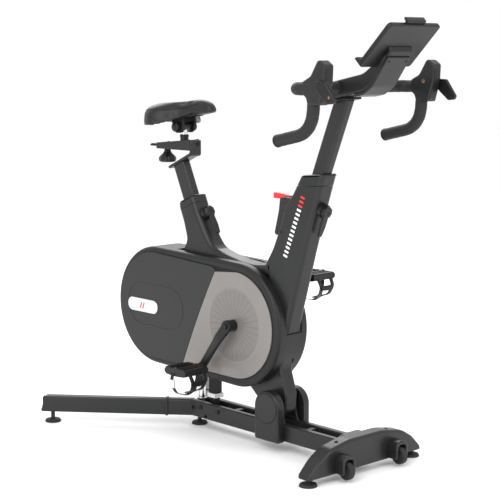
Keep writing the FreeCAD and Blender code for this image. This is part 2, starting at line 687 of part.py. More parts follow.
def build_bearings():
    """Crank and hub bearings and the pivot bushes."""
    parts = []
    for name, side in SIDES:
        parts.append(ring(f"crank_bearing_{name}", s.shell_radius - 3, s.axle_crank + s.running_fit, 0, s.crank_height,
                          size_of(5), side * (s.shell_half - 6)))
        parts.append(ring(f"hub_bearing_{name}", size_of(14), s.flywheel_axle + s.running_fit, HUB_X, HUB_Z,
                          s.plate_thick / 2, side * (s.neck_width + s.plate_thick) / 2))
        parts.append(ring(f"pivot_bush_{name}", s.pivot_radius + 4, s.pivot_radius + s.running_fit, s.tilt_ahead,
                          s.tilt_height, size_of(8), side * (s.neck_width / 2 - 8)))
    node(group("bearings", parts), "bearings")


def build_frame_fasteners(bosses):
    """Upper link pins, the magnet bracket's pin, the screws and the threaded clamp bosses."""
    half = s.neck_width / 2 + s.plate_thick
    parts = [across("lift_pin_top", s.link_pin, s.lift_x, s.lift_top, half),
             across("damper_pin_top", s.link_pin, s.damper_x, s.damper_top, half),
             across("magnet_pin", s.axle_radius, s.magnet_pin_x, s.magnet_pin_z, half),
             across("stop_pin", 3, 164, 726, 20)]
    for name, side in SIDES:
        for number, (x, z) in enumerate(((98, 500), (158, 632))):
            y = s.member_half if side > 0 else -s.member_half - 1
            parts.append(rod(f"screw_{name}_{number}", 4, x, y, z, 1))
    node(group("frame_fasteners", parts + bosses), "frame_fasteners")


# ---------------------------------------------------------------- drive

def build_drive():
    """Crank axle, big pulley, belt, flywheel and its magnet bracket."""
    reach = s.arm_middle + s.arm_thick / 2
    node(across("crank_axle", s.axle_crank, 0, s.crank_height, reach), "crank_axle")
    node(ring("drive_pulley", s.pulley_radius, s.axle_crank, 0, s.crank_height, s.pulley_width / 2, s.pulley_middle),
         "drive_pulley")
    grow = s.belt_gap + s.belt_thick
    loop = (along(0), s.crank_height), (along(HUB_X), HUB_Z)
    outer = hull_prism("belt_outer", s.pulley_radius + grow, s.small_pulley + grow, s.pulley_width - 2,
                       s.pulley_middle, ends=loop)
    inner = hull_prism("belt_inner", s.pulley_radius + s.belt_gap, s.small_pulley + s.belt_gap, s.pulley_width,
                       s.pulley_middle, ends=loop)
    node(cut("drive_belt", outer, [inner]), "drive_belt")
    rim = s.flywheel_radius
    half = s.flywheel_width / 2
    wheel = lathe("flywheel_disc", [(0, -half), (28, -half), (32, -6), (rim - 32, -6), (rim - 28, -half), (rim, -half),
                                    (rim, half), (rim - 28, half), (rim - 32, 6), (32, 6), (28, half), (0, half)],
                  HUB_X, 0, HUB_Z, "Y")
    axle_end = s.pulley_middle + s.pulley_width / 2
    axle = rod("flywheel_shaft", s.flywheel_axle, HUB_X, -axle_end, HUB_Z, 2 * axle_end)
    small = across("flywheel_small_pulley", s.small_pulley, HUB_X, HUB_Z, s.pulley_width / 2, s.pulley_middle)
    node(fuse("flywheel", [wheel, axle, small]), "flywheel")
    arm = side_prism("magnet_arm", [(-236, 460), (-250, 490), (-332, 512), (-338, 474), (-290, 456)], 38)
    slot = across("magnet_slot", s.flywheel_radius + 4, HUB_X, HUB_Z, s.magnet_gap / 2)
    eye = across("magnet_eye", s.axle_radius + s.running_fit, s.magnet_pin_x, s.magnet_pin_z, 40)
    node(cut("magnet_bracket", arm, [slot, eye]), "magnet_bracket")


def build_crank(name, side):
    """Crank arm with a round eye at each end, then the pedal on its spindle."""
    angle = s.crank_angle if side < 0 else s.crank_angle - 180
    pedal_x = s.crank_arm * cosine(angle)
    pedal_z = s.crank_height + s.crank_arm * sine(angle)
    y = side * s.arm_middle
    beam = new("Part::Box", f"arm_beam_{name}")
    bind(beam, "Length", s.crank_arm)
    bind(beam, "Width", s.arm_thick)
    bind(beam, "Height", s.arm_width)
    place(beam, along(s.arm_width / 2 * sine(angle)), y - s.arm_thick / 2,
          s.crank_height - s.arm_width / 2 * cosine(angle), FreeCAD.Vector(0, -1, 0), angle)
    eyes = [across(f"arm_eye_{name}", s.arm_width / 2 + 4, 0, s.crank_height, s.arm_thick / 2, y),
            across(f"arm_end_{name}", s.arm_width / 2, pedal_x, pedal_z, s.arm_thick / 2, y)]
    holes = [across(f"arm_hole_{name}", s.axle_crank, 0, s.crank_height, 30, y),
             across(f"arm_pedal_hole_{name}", s.spindle, pedal_x, pedal_z, 30, y)]
    node(cut(f"crank_arm_{name}", fuse(f"arm_body_{name}", [beam] + eyes), holes), f"crank_arm_{name}")
    start = s.arm_middle - s.arm_thick / 2
    end = s.pedal_middle + s.pedal_width / 2 - 8
    low = start if side > 0 else -end
    spindle = rod(f"spindle_{name}", s.spindle, pedal_x, low, pedal_z, end - start)
    block = box(f"pedal_block_{name}", (along(pedal_x - s.pedal_length / 2), along(pedal_x + s.pedal_length / 2)),
                (side * s.pedal_middle - s.pedal_width / 2, side * s.pedal_middle + s.pedal_width / 2),
                (pedal_z - s.pedal_thick / 2, pedal_z + s.pedal_thick / 2))
    bore = across(f"pedal_bore_{name}", s.spindle + s.running_fit, pedal_x, pedal_z, s.pedal_width,
                  side * s.pedal_middle)
    windows = [box(f"pedal_window_{name}_{number}",
                   (along(pedal_x + near), along(pedal_x + far)),
                   (side * s.pedal_middle - s.pedal_width / 2 + 10, side * s.pedal_middle + s.pedal_width / 2 - 10),
                   (pedal_z - s.pedal_thick, pedal_z + s.pedal_thick))
               for number, (near, far) in enumerate(((-38, -14), (14, 38)))]
    node(cut(f"pedal_{name}", block, [bore] + windows), f"pedal_{name}")
    strap_outer = side_prism(f"strap_outer_{name}", strap_outline(pedal_x, pedal_z, 0, s.pedal_thick / 2), 24,
                             side * s.pedal_middle)
    strap_inner = side_prism(f"strap_inner_{name}", strap_outline(pedal_x, pedal_z, 3, s.pedal_thick / 2 - 1), 60,
                             side * s.pedal_middle)
    node(cut(f"toe_strap_{name}", strap_outer, [strap_inner]), f"toe_strap_{name}")
    return spindle


def strap_outline(x, z, wall, start):
    """Toe strap that hangs in a loop below the pedal."""
    reach = s.pedal_length / 2
    return [(x - reach + wall, z - start), (x - reach - 6 + wall, z - 40), (x - 20 + wall / 2, z - 74 + wall),
            (x + 24 - wall / 2, z - 66 + wall), (x + reach + 2 - wall, z - 30), (x + reach - wall, z - start)]


# ---------------------------------------------------------------- incline links

def build_links():
    """Telescopic lift post and damper, each an outer and an inner piece."""
    tube, wall, play = s.lift_tube, s.lift_wall, s.lift_play
    top, low = s.lift_top, s.lift_top - s.lift_reach
    outer = box("lift_tube_box", (along(s.lift_x - tube / 2), along(s.lift_x + tube / 2)), (-tube / 2, tube / 2),
                (low, top + 12))
    collar = box("lift_collar", (along(s.lift_x - tube / 2 - 4), along(s.lift_x + tube / 2 + 4)),
                 (-tube / 2 - 3, tube / 2 + 3), (low, low + 12))
    hollow = box("lift_hollow", (along(s.lift_x - tube / 2 + wall), along(s.lift_x + tube / 2 - wall)),
                 (-tube / 2 + wall, tube / 2 - wall), (low - 5, top - 12))
    eye = across("lift_top_eye", s.link_pin + s.running_fit, s.lift_x, top, 40)
    node(cut("lift_outer", fuse("lift_outer_body", [outer, collar]), [hollow, eye]), "lift_outer")
    half = tube / 2 - wall - play
    post = box("lift_post_box", (along(s.lift_x - half), along(s.lift_x + half)), (-half, half),
               (s.lift_foot, s.lift_foot + s.lift_post))
    foot_eye = across("lift_foot_round", s.link_eye, s.lift_x, s.lift_foot, tube / 2)
    foot_hole = across("lift_foot_hole", s.link_pin + s.running_fit, s.lift_x, s.lift_foot, 40)
    node(cut("lift_inner", fuse("lift_inner_body", [post, foot_eye]), [foot_hole]), "lift_inner")

    end = s.damper_top - s.damper_reach
    shell = rod("damper_tube", s.damper_radius, s.damper_x, 0, end, s.damper_reach + 12, "Z")
    bore = rod("damper_bore", s.damper_rod + s.damper_play, s.damper_x, 0, end - 5, s.damper_reach - 9, "Z")
    head_eye = across("damper_top_eye", s.link_pin + s.running_fit, s.damper_x, s.damper_top, 40)
    node(cut("damper_body", shell, [bore, head_eye]), "damper_body")
    shaft = rod("damper_shaft", s.damper_rod, s.damper_x, 0, s.damper_foot + 10, s.damper_post - 10, "Z")
    clevis = rod("damper_clevis", s.damper_rod + 4.5, s.damper_x, 0, s.damper_foot + 2, 23, "Z")
    low_eye = across("damper_low_round", s.link_eye, s.damper_x, s.damper_foot, 15)
    low_hole = across("damper_low_hole", s.link_pin + s.running_fit, s.damper_x, s.damper_foot, 40)
    node(cut("damper_rod", fuse("damper_rod_body", [shaft, clevis, low_eye]), [low_hole]), "damper_rod")


# ---------------------------------------------------------------- seat

def build_seat():
    """Seat post, slide channel, slider with stem, clamp, saddle and knob."""
    lean, x0, z0 = -s.seat_lean, s.seat_axis_x, s.seat_axis_z
    tube = bar("seat_post_tube", x0, z0, lean, -s.seat_insert, s.seat_rise, s.post_deep, s.post_wide)
    hollow = bar("seat_post_hollow", x0, z0, lean, -s.seat_insert - 5, s.seat_rise - 10,
                 s.post_deep - 2 * s.post_wall, s.post_wide - 2 * s.post_wall)
    plate = bar("seat_plate", x0 + s.plate_ahead * cosine(lean), z0 - s.plate_ahead * sine(lean), lean, s.seat_rise,
                s.seat_rise + 8, s.plate_length, s.channel_width)
    node(fuse("seat_post", [cut("seat_post_pipe", tube, [hollow]), plate]), "seat_post")

    plate_top = s.seat_rise + 8
    front = s.channel_front
    top_x = x0 + plate_top * sine(lean)
    top_z = z0 + plate_top * cosine(lean)
    slope = sine(s.seat_lean) / cosine(s.seat_lean)
    strap = side_prism("seat_strap", [
        (front - 26, top_z + (front - 26 - top_x) * slope), (front - 10, top_z + (front - 10 - top_x) * slope),
        (front - 6, s.channel_bottom + 1), (front - 26, s.channel_bottom + 1)], s.channel_width)
    shell = box("channel_shell", (along(s.channel_rear), along(front)), (-s.channel_width / 2, s.channel_width / 2),
                (s.channel_bottom, s.channel_top))
    wall = s.channel_wall
    slider_half = s.channel_width / 2 - wall - s.gap
    inner_half = s.channel_width / 2 - wall
    way = box("channel_way", (along(s.channel_rear - 5), along(front + 5)), (-inner_half, inner_half),
              (s.channel_bottom + wall, s.channel_top - wall))
    mouth = box("channel_mouth", (along(s.channel_rear - 5), along(front + 5)), (-s.stem_radius - 1, s.stem_radius + 1),
                (s.channel_top - wall - 1, s.channel_top + 5))
    screw_hole = rod("channel_screw_hole", 6 + s.running_fit, s.knob_x, 0, s.channel_bottom - 5, 20, "Z")
    node(cut("seat_channel", fuse("channel_body", [shell, strap]), [way, mouth, screw_hole]), "seat_channel")

    knob_top = s.channel_bottom - s.gap
    radius = s.knob_radius
    node(lathe("slide_knob", [(0, -s.knob_height), (radius - 4, -s.knob_height), (radius, 5 - s.knob_height),
                              (radius - 4, -34), (10, -18), (9, 0), (6, 0), (6, wall + 0.2), (0, wall + 0.2)],
               s.knob_x, 0, knob_top), "slide_knob")

    slider = box("slider_bar", (along(s.slider_rear), along(s.slider_front)), (-slider_half, slider_half),
                 (s.channel_bottom + wall + s.gap, s.channel_top - wall - s.gap))
    stem = rod("saddle_post", s.stem_radius, s.stem_x, 0, s.channel_top - 12, s.tilt_bolt_z - s.channel_top + 12, "Z")
    head = across("saddle_head", 13, s.stem_x, s.tilt_bolt_z, size_of(19))
    bolt = across("saddle_bolt", 5, s.stem_x, s.tilt_bolt_z, size_of(36))
    node(fuse("saddle_stem", [slider, stem, head, bolt]), "saddle_stem")

    sides = []
    for name, side in SIDES:
        cheek = box(f"cheek_box_{name}", (along(s.stem_x - 16), along(s.stem_x + 16)),
                    tuple(sorted((size_of(side * 19.5), size_of(side * 27)), key=lambda value: value.value)),
                    (s.tilt_bolt_z - 14, s.saddle_bottom))
        rail = rod(f"rail_wire_{name}", 3.5, s.stem_x - 90, side * 23, s.saddle_bottom - 4.5, 190, "X")
        posts = [rod(f"rail_post_{name}_{number}", 3.5, s.stem_x + x, side * 23, s.saddle_bottom - 4.5, 4.5, "Z")
                 for number, x in enumerate((-86, 96))]
        hole = across(f"cheek_hole_{name}", 5 + s.running_fit, s.stem_x, s.tilt_bolt_z, 60)
        sides.append(cut(f"saddle_rail_{name}", fuse(f"rail_body_{name}", [cheek, rail] + posts), [hole]))
    node(group("saddle_rails", sides), "saddle_rails")

    low = s.saddle_bottom
    stations = []
    for offset, half, drop, top in ((-417, 62, 10, 966), (-395, 92, -28, 979), (-345, 97, -30, 980),
                                    (-290, 52, -4, 984), (-235, 22, 4, 988), (-175, 19, 8, 988), (-147, 9, 10, 972)):
        z = size_of(top)
        stations.append((along(offset), [(-half, low + drop + 6), (-half * 0.72, low + max(drop, 0)),
                                         (half * 0.72, low + max(drop, 0)), (half, low + drop + 6),
                                         (half * 0.86, z - 10), (half * 0.45, z), (-half * 0.45, z),
                                         (-half * 0.86, z - 10)]))
    node(loft("saddle", "YZ", stations), "saddle")


# ---------------------------------------------------------------- clamps and levers

def build_clamp(label, x, z, lean, body_lean, y_turn):
    """Lever hub on a threaded boss, and a flat lever that hangs across the tube."""
    hub = leaning_rod(f"{label}_hub", s.clamp_hub, x, z, lean, s.boss_height + s.gap,
                      s.boss_height + s.clamp_hub_height)
    boss = leaning_rod(f"{label}_boss", s.boss_radius, x, z, lean, 0, s.boss_height)
    blade = bar(f"{label}_blade", x + (s.boss_height + 8) * sine(lean), z + (s.boss_height + 8) * cosine(lean),
                body_lean, 8, s.clamp_lever, size_of(9), size_of(20), y_turn)
    return boss, fuse(f"{label}_lever", [hub, blade])


def build_clamps():
    """Seat and head clamps and the red stop lever."""
    down, out = -s.clamp_drop, s.seat_tube_deep / 2
    seat_x = s.seat_axis_x - down * sine(s.seat_lean) + out * cosine(s.seat_lean)
    seat_z = s.seat_axis_z + down * cosine(s.seat_lean) + out * sine(s.seat_lean)
    seat_boss, seat_lever = build_clamp("seat_clamp", seat_x, seat_z, 90 - s.seat_lean, size_of(148), size_of(-2))
    head_boss, head_lever = build_clamp("head_clamp", 287.5, 703, size_of(108.6), size_of(-158), size_of(-4))
    node(seat_lever, "seat_clamp_lever")
    node(head_lever, "head_clamp_lever")
    arm = side_prism("stop_lever_arm", [(104, 722), (130, 722), (172, 720), (172, 733), (130, 737), (104, 738)], 12)
    eye = across("stop_lever_eye", 3 + s.running_fit, 164, 726, 20)
    node(cut("stop_lever", arm, [eye]), "stop_lever")
    return [seat_boss, head_boss]


# ---------------------------------------------------------------- handlebar and console arm

def rounded_wire(points, radii):
    """Straight runs joined by tangent arcs; one radius for each inner point."""
    spots = [FreeCAD.Vector(*[size_of(value).value for value in point]) for point in points]
    edges = []
    start = spots[0]
    for before, corner, after, radius in zip(spots, spots[1:], spots[2:], radii):
        back = (before - corner).normalize()
        onward = (after - corner).normalize()
        half_turn = (math.pi - back.getAngle(onward)) / 2
        trim = radius * math.tan(half_turn)
        first, last = corner + back * trim, corner + onward * trim
        middle_way = (back + onward).normalize()
        middle = corner + middle_way * (radius / math.cos(half_turn) - radius)
        edges += [Part.LineSegment(start, first).toShape(), Part.Arc(first, middle, last).toShape()]
        start = last
    edges.append(Part.LineSegment(start, spots[-1]).toShape())
    return Part.Wire(edges)


def build_handlebar():
    """Drop handlebar: a cross bar whose ends turn forward, down and back."""
    half = [(along(s.bar_x), s.bar_half, s.bar_z), (along(s.bar_x + 64), s.bar_half, s.bar_z),
            (along(s.bar_x + 56), s.bar_half, s.bar_z - 109), (along(330), s.bar_half, s.bar_z - 136)]
    mirror = [(x, -y, z) for x, y, z in reversed(half)]
    wire = rounded_wire(mirror + half, [75, 24, 30, 30, 24, 75])
    start, aim = wire.Vertexes[0].Point, wire.Edges[0].tangentAt(wire.Edges[0].FirstParameter)
    ring_wire = Part.Wire([Part.Circle(start, aim, s.bar_radius.value).toShape()])
    tube = new("Part::Feature", "bar_tube")
    tube.Shape = wire.makePipeShell([ring_wire], True, True)
    node(tube, "handlebar")
    hoods = []
    for name, side in SIDES:
        outline = [(432, 1058), (462, 1070), (488, 1113), (513, 1098), (512, 1052), (494, 998), (450, 998),
                   (445, 1016), (432, 1022)]
        block = side_prism(f"hood_block_{name}", outline, 2 * s.hood_half + 8, side * (s.bar_half + 1),
                           corners=[(6, (2, 3, 5))])
        lever_pin = rod(f"lever_pin_{name}", 3, 498, s.bar_half + 20 if side > 0 else -s.bar_half - 30, 1050, 10)
        hoods.append(fuse(f"hood_{name}", [cut(f"hood_shell_{name}", block, [tube]), lever_pin]))
    node(group("hoods", hoods), "hoods")
    for name, side in SIDES:
        y = side * (s.bar_half + s.hood_half + 10)
        lever = side_prism(f"lever_block_{name}", [(486, 1060), (520, 1056), (s.lever_reach, 1018),
                                                   (s.lever_reach - 4, 1006), (528, 1004), (494, 1034)], 9, y)
        eye = across(f"lever_eye_{name}", 3 + s.running_fit, 498, 1050, 10, y)
        node(cut(f"brake_lever_{name}", lever, [eye]), f"brake_lever_{name}")


def build_console():
    """Head post, console arm with its front plate, tray and spring clip."""
    lean, x0, z0 = s.head_lean, s.head_axis_x, s.head_axis_z
    tube = bar("head_post_tube", x0, z0, lean, -s.head_insert, s.head_rise, s.post_deep, s.post_wide)
    hollow = bar("head_post_hollow", x0, z0, lean, -s.head_insert - 5, s.head_rise - 8,
                 s.post_deep - 2 * s.post_wall, s.post_wide - 2 * s.post_wall)
    node(cut("head_post", tube, [hollow]), "head_post")
    tray_x, tray_z = 508, 1100
    tray = bar("tray_board", tray_x, tray_z, s.tray_lean, 0, 140, s.tray_thick, 2 * s.tray_half)
    lip = bar("tray_lip", tray_x - 10, tray_z + 10, s.tray_lean, 0, 8, 28, 2 * s.tray_half)
    tray_body = fuse("tray_body", [tray, lip])
    arm_outline = [(345, 1003), (472, 1028), (500, 1046), (552, 1118), (562, 1138), (550, 1142), (504, 1100),
                   (473, 1076), (350, 1051)]
    block = side_prism("arm_block", arm_outline, 2 * s.arm_half)
    post_space = bar("arm_post_space", x0, z0, lean, 0, s.head_rise, s.post_deep, s.post_wide)
    bar_space = across("arm_bar_space", s.bar_radius, s.bar_x, s.bar_z, 100)
    node(cut("console_arm", block, [post_space, bar_space, tray_body]), "console_arm")
    plate = side_prism("arm_plate_block", [(440, 1014), (474, 1020.2), (506.5, 1041.3), (558.5, 1113.3), (552, 1118),
                                           (500, 1046), (472, 1028), (440, 1021.7)], 2 * s.arm_half - 8)
    node(plate, "console_arm_plate")
    frame = bar("tray_relief", tray_x - 4.5, tray_z + 4.5, s.tray_lean, 14, 132, 4, 2 * s.tray_half - 16)
    way = bar("clip_way", tray_x, tray_z, s.tray_lean, 70, 150, size_of(4.6), 2 * s.clip_half + 1)
    node(cut("tablet_tray", tray_body, [frame, way]), "tablet_tray")
    slide = bar("clip_slide", tray_x, tray_z, s.tray_lean, 75, 160, size_of(3.8), 2 * s.clip_half)
    hook = bar("clip_hook", tray_x - 8, tray_z + 8, s.tray_lean, 154, 160, size_of(24), 2 * s.clip_half)
    node(fuse("tray_clip", [slide, hook]), "tray_clip")


def check_and_write():
    """Stop on any failed object, then write one file for each sub-part."""
    DOC.recompute()
    for thing in DOC.Objects:
        if "Invalid" in thing.State or "Error" in thing.State:
            raise RuntimeError(f"{thing.Name} failed: {thing.State}")
    os.makedirs("parts", exist_ok=True)
    for thing in NODES:
        shape = thing.Shape
        if shape.isNull() or not shape.isValid() or not shape.Solids:
            raise RuntimeError(f"{thing.Label} has no valid solid")
        shape.exportStep(f"parts/{thing.Label}.step")
        print(f"{thing.Label}: {len(shape.Solids)} solids, {shape.Volume / 1000:.0f} cm3")
    whole = Part.makeCompound([thing.Shape for thing in NODES]).BoundBox
    print(f"{len(NODES)} nodes, box X {whole.XMin:.1f} {whole.XMax:.1f} Y {whole.YMin:.1f} {whole.YMax:.1f} "
          f"Z {whole.ZMin:.1f} {whole.ZMax:.1f}")


def main():
    build_base_frame()
    build_legs()
    build_front_stabiliser()
    build_feet()
    build_wheels()
    build_pivot()
    build_base_fasteners()
    build_shroud()
    build_panels()
    build_core_frame()
    build_neck()
    build_front_tube()
    build_top_beam()
    build_seat_tube()
    build_collars()
    build_bearings()
    build_drive()
    spindles = [build_crank(name, side) for name, side in SIDES]
    node(group("pedal_spindles", spindles), "pedal_spindles")
    build_links()
    build_seat()
    build_frame_fasteners(build_clamps())
    build_handlebar()
    build_console()
    check_and_write()


main()
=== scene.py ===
import json
import logging
import math
from collections.abc import Callable
from dataclasses import dataclass, field
from enum import Enum
from functools import partial

import bmesh
import bpy
import numpy as np
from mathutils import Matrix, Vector
from mathutils.bvhtree import BVHTree


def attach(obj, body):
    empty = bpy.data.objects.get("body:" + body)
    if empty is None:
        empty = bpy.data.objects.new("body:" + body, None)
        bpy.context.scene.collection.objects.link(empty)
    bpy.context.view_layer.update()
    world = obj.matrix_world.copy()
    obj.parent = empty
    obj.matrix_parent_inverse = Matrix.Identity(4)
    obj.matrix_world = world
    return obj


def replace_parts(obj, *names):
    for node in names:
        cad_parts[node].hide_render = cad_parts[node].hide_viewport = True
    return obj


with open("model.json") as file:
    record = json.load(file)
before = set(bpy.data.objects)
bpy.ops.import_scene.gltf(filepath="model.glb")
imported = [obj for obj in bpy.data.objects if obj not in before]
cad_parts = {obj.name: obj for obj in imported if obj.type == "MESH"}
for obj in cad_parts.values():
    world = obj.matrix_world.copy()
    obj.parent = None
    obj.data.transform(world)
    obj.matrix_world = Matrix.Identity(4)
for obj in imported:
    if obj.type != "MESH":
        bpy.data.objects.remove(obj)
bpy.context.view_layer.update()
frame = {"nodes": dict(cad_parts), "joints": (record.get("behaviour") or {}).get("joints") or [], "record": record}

log = logging.getLogger("exercise_bike")
Array = np.ndarray
Outline = Callable[..., Array]
MM = 0.001
SIDES = (("left", 1), ("right", -1))
SIDEWAYS = (0, 1, 0)


def joint_named(name: str) -> dict:
    """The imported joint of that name.

    Args:
        name: Joint name in the record.

    Returns:
        The joint's entry.
    """
    return next(joint for joint in frame["joints"] if joint["name"] == name)


CRANK_X = joint_named("crank_spin")["pos_m"][0] / MM
CRANK_Z = joint_named("crank_spin")["pos_m"][2] / MM
HUB_X = joint_named("flywheel_spin")["pos_m"][0] / MM - CRANK_X
HUB_Z = joint_named("flywheel_spin")["pos_m"][2] / MM


class Plane(Enum):
    """Which two row axes an outline is drawn on, and the axis that it is carried along."""

    SIDE = ((1, 0, 0), (0, 0, 1), (0, 1, 0))
    FRONT = ((0, 1, 0), (0, 0, 1), (1, 0, 0))
    TOP = ((1, 0, 0), (0, 1, 0), (0, 0, 1))


def facing(side: int) -> tuple:
    """Axes of an outline that is drawn on a side face: ahead, up and outwards."""
    return (1, 0, 0), (0, 0, 1), (0, side, 0)


def leaning(angle: float) -> tuple:
    """Two unit directions of a tube that leans forwards.

    Args:
        angle: Lean from upright, in degrees.

    Returns:
        The direction along the tube and the one ahead of it, square to it.
    """
    lean = math.radians(angle)
    return np.array([math.sin(lean), 0, math.cos(lean)]), np.array([math.cos(lean), 0, -math.sin(lean)])


# ------------------------------------------------------------------ surfaces


def rounded(points: list, radius: float | list = 0.0, steps: int = 6, inset: float = 0.0) -> Array:
    """Closed outline, drawn inwards by an inset, whose corners are replaced by tangent arcs.

    Each corner first moves along the sum of its two inward normals, divided by one plus their product. An
    outer corner's radius shrinks by the inset and an inner corner's grows by it.

    Args:
        points: Corner points, in order.
        radius: One radius for all corners, or one each.
        steps: Steps per arc.
        inset: Distance inwards.

    Returns:
        An N by 2 array, anticlockwise, with the same number of points at any inset.
    """
    corners = np.array(points, float)
    radii = np.array(np.broadcast_to(np.array(radius, float), (len(corners),)))
    ahead = np.roll(corners, -1, 0)
    if np.sum(corners[:, 0] * ahead[:, 1] - ahead[:, 0] * corners[:, 1]) < 0:
        corners, radii = corners[::-1], radii[::-1]
    run = np.roll(corners, -1, 0) - corners
    run /= np.linalg.norm(run, axis=1, keepdims=True)
    normal = np.stack([-run[:, 1], run[:, 0]], 1)
    before = np.roll(normal, 1, 0)
    last = np.roll(run, 1, 0)
    bulge = np.sign(last[:, 0] * run[:, 1] - last[:, 1] * run[:, 0])
    corners = corners + (before + normal) / (1 + np.sum(before * normal, 1, keepdims=True)) * inset
    radii = np.where(radii > 0, np.maximum(radii - bulge * inset, 0), 0)
    loop = []
    for index, corner in enumerate(corners):
        back, onward = corners[index - 1] - corner, corners[(index + 1) % len(corners)] - corner
        room = min(np.linalg.norm(back), np.linalg.norm(onward)) * 0.49
        back, onward = back / np.linalg.norm(back), onward / np.linalg.norm(onward)
        half = math.acos(float(np.clip(back @ onward, -1, 1))) / 2
        if radii[index] <= 0 or half > math.pi / 2 - 0.01:
            loop.append(np.repeat(corner[None], steps + 1, 0))
            continue
        trim = min(radii[index] / math.tan(half), room)
        size = trim * math.tan(half)
        centre = corner + (back + onward) / np.linalg.norm(back + onward) * size / math.sin(half)
        first, final = corner + back * trim - centre, corner + onward * trim - centre
        start = math.atan2(first[1], first[0])
        turn = (math.atan2(final[1], final[0]) - start + math.pi) % (2 * math.pi) - math.pi
        angles = start + turn * np.linspace(0, 1, steps + 1)
        loop.append(centre + size * np.stack([np.cos(angles), np.sin(angles)], 1))
    return np.concatenate(loop)


def corners(points: list, radius: float | list = 0.0, steps: int = 6) -> Outline:
    """Outline as a function of its inset, for slabs with tight corners."""
    return partial(rounded, points, radius, steps)


def circle(x: float, z: float, radius: float, count: int = 48) -> Array:
    """Round outline: centre plus radius times cosine and sine."""
    angles = np.linspace(0, 2 * math.pi, count, endpoint=False)
    return np.stack([x + radius * np.cos(angles), z + radius * np.sin(angles)], 1)


def belt_loop(front: float, rear: float, count: int = 64) -> Array:
    """Outline of a belt round the crank and hub axes: two arcs joined by their outer tangents.

    Args:
        front: Radius about the crank axis.
        rear: Radius about the hub axis.
        count: Points per arc.

    Returns:
        An N by 2 outline, anticlockwise.
    """
    span = math.hypot(HUB_X, HUB_Z - CRANK_Z)
    heading = math.atan2(HUB_Z - CRANK_Z, HUB_X)
    swing = math.acos((front - rear) / span)
    ahead = np.linspace(heading + swing - 2 * math.pi, heading - swing, count)
    behind = np.linspace(heading - swing, heading + swing, count)
    first = np.stack([front * np.cos(ahead), CRANK_Z + front * np.sin(ahead)], 1)
    second = np.stack([HUB_X + rear * np.cos(behind), HUB_Z + rear * np.sin(behind)], 1)
    return np.concatenate([first, second])


def edge_profile(low: float, high: float, low_round: float, high_round: float, steps: int = 6) -> Array:
    """Inset and height pairs up a slab's wall, with a quarter circle at each end.

    Args:
        low: Height of the lower face.
        high: Height of the upper face.
        low_round: Radius at the lower edge.
        high_round: Radius at the upper edge.
        steps: Points per quarter circle.

    Returns:
        An M by 2 array from the lower face to the upper one.
    """
    turn = np.linspace(0, math.pi / 2, steps + 1)
    lower = np.stack([low_round * (1 - np.sin(turn)), low + low_round * (1 - np.cos(turn))], 1)
    upper = np.stack([high_round * (1 - np.cos(turn)), high - high_round * (1 - np.sin(turn))], 1)
    return np.concatenate([lower, upper])


def outline_normals(loop: Array) -> Array:
    """Outward unit normals of an anticlockwise outline, from the neighbours on each side.

    Args:
        loop: Outline points.

    Returns:
        One normal for each point.
    """
    along = np.roll(loop, -1, 0) - np.roll(loop, 1, 0)
    normal = np.stack([along[:, 1], -along[:, 0]], 1)
    return normal / np.maximum(np.linalg.norm(normal, axis=1, keepdims=True), 1e-9)


def grid_faces(rows: int, columns: int, closed: bool = True) -> list:
    """Quads between neighbouring rows of a grid whose columns close on themselves.

    Args:
        rows: Number of rings.
        columns: Points per ring.
        closed: Whether the last column joins the first.

    Returns:
        A list of four-index faces.
    """
    row, column = np.meshgrid(np.arange(rows - 1), np.arange(columns if closed else columns - 1),
                              indexing="ij")
    after = (column + 1) % columns
    quads = np.stack([row * columns + column, row * columns + after,
                      (row + 1) * columns + after, (row + 1) * columns + column], -1)
    return quads.reshape(-1, 4).tolist()


def piece(name: str, points: Array, faces: list, body: str, finish: "Finish", sharp: float = 40.0,
          flip: bool = False) -> bpy.types.Object:
    """Makes a finished object from millimetre points counted from the crank axis.

    Args:
        name: Object name.
        points: N by 3 points; X is counted from the crank axis.
        faces: Index lists.
        body: CAD body that it rides on.
        finish: Its material.
        sharp: Angle in degrees past which an edge stays sharp.
        flip: Whether the faces are turned round.

    Returns:
        The object, at the origin, with its place in its mesh.
    """
    world = (np.asarray(points, float) + [CRANK_X, 0, 0]) * MM
    if flip:
        faces = [face[::-1] for face in faces]
    mesh = bpy.data.meshes.new(name)
    mesh.from_pydata(world.tolist(), [], faces)
    mesh.validate()
    made = bmesh.new()
    made.from_mesh(mesh)
    bmesh.ops.remove_doubles(made, verts=made.verts, dist=1e-6)
    bmesh.ops.recalc_face_normals(made, faces=made.faces)
    made.to_mesh(mesh)
    made.free()
    mesh.polygons.foreach_set("use_smooth", [True] * len(mesh.polygons))
    mesh.set_sharp_from_angle(angle=math.radians(sharp))
    thing = bpy.data.objects.new(name, mesh)
    bpy.context.scene.collection.objects.link(thing)
    weigh = thing.modifiers.new("weigh_normals", "WEIGHTED_NORMAL")
    weigh.keep_sharp = True
    mesh.materials.append(finish.material())
    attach(thing, body)
    return thing


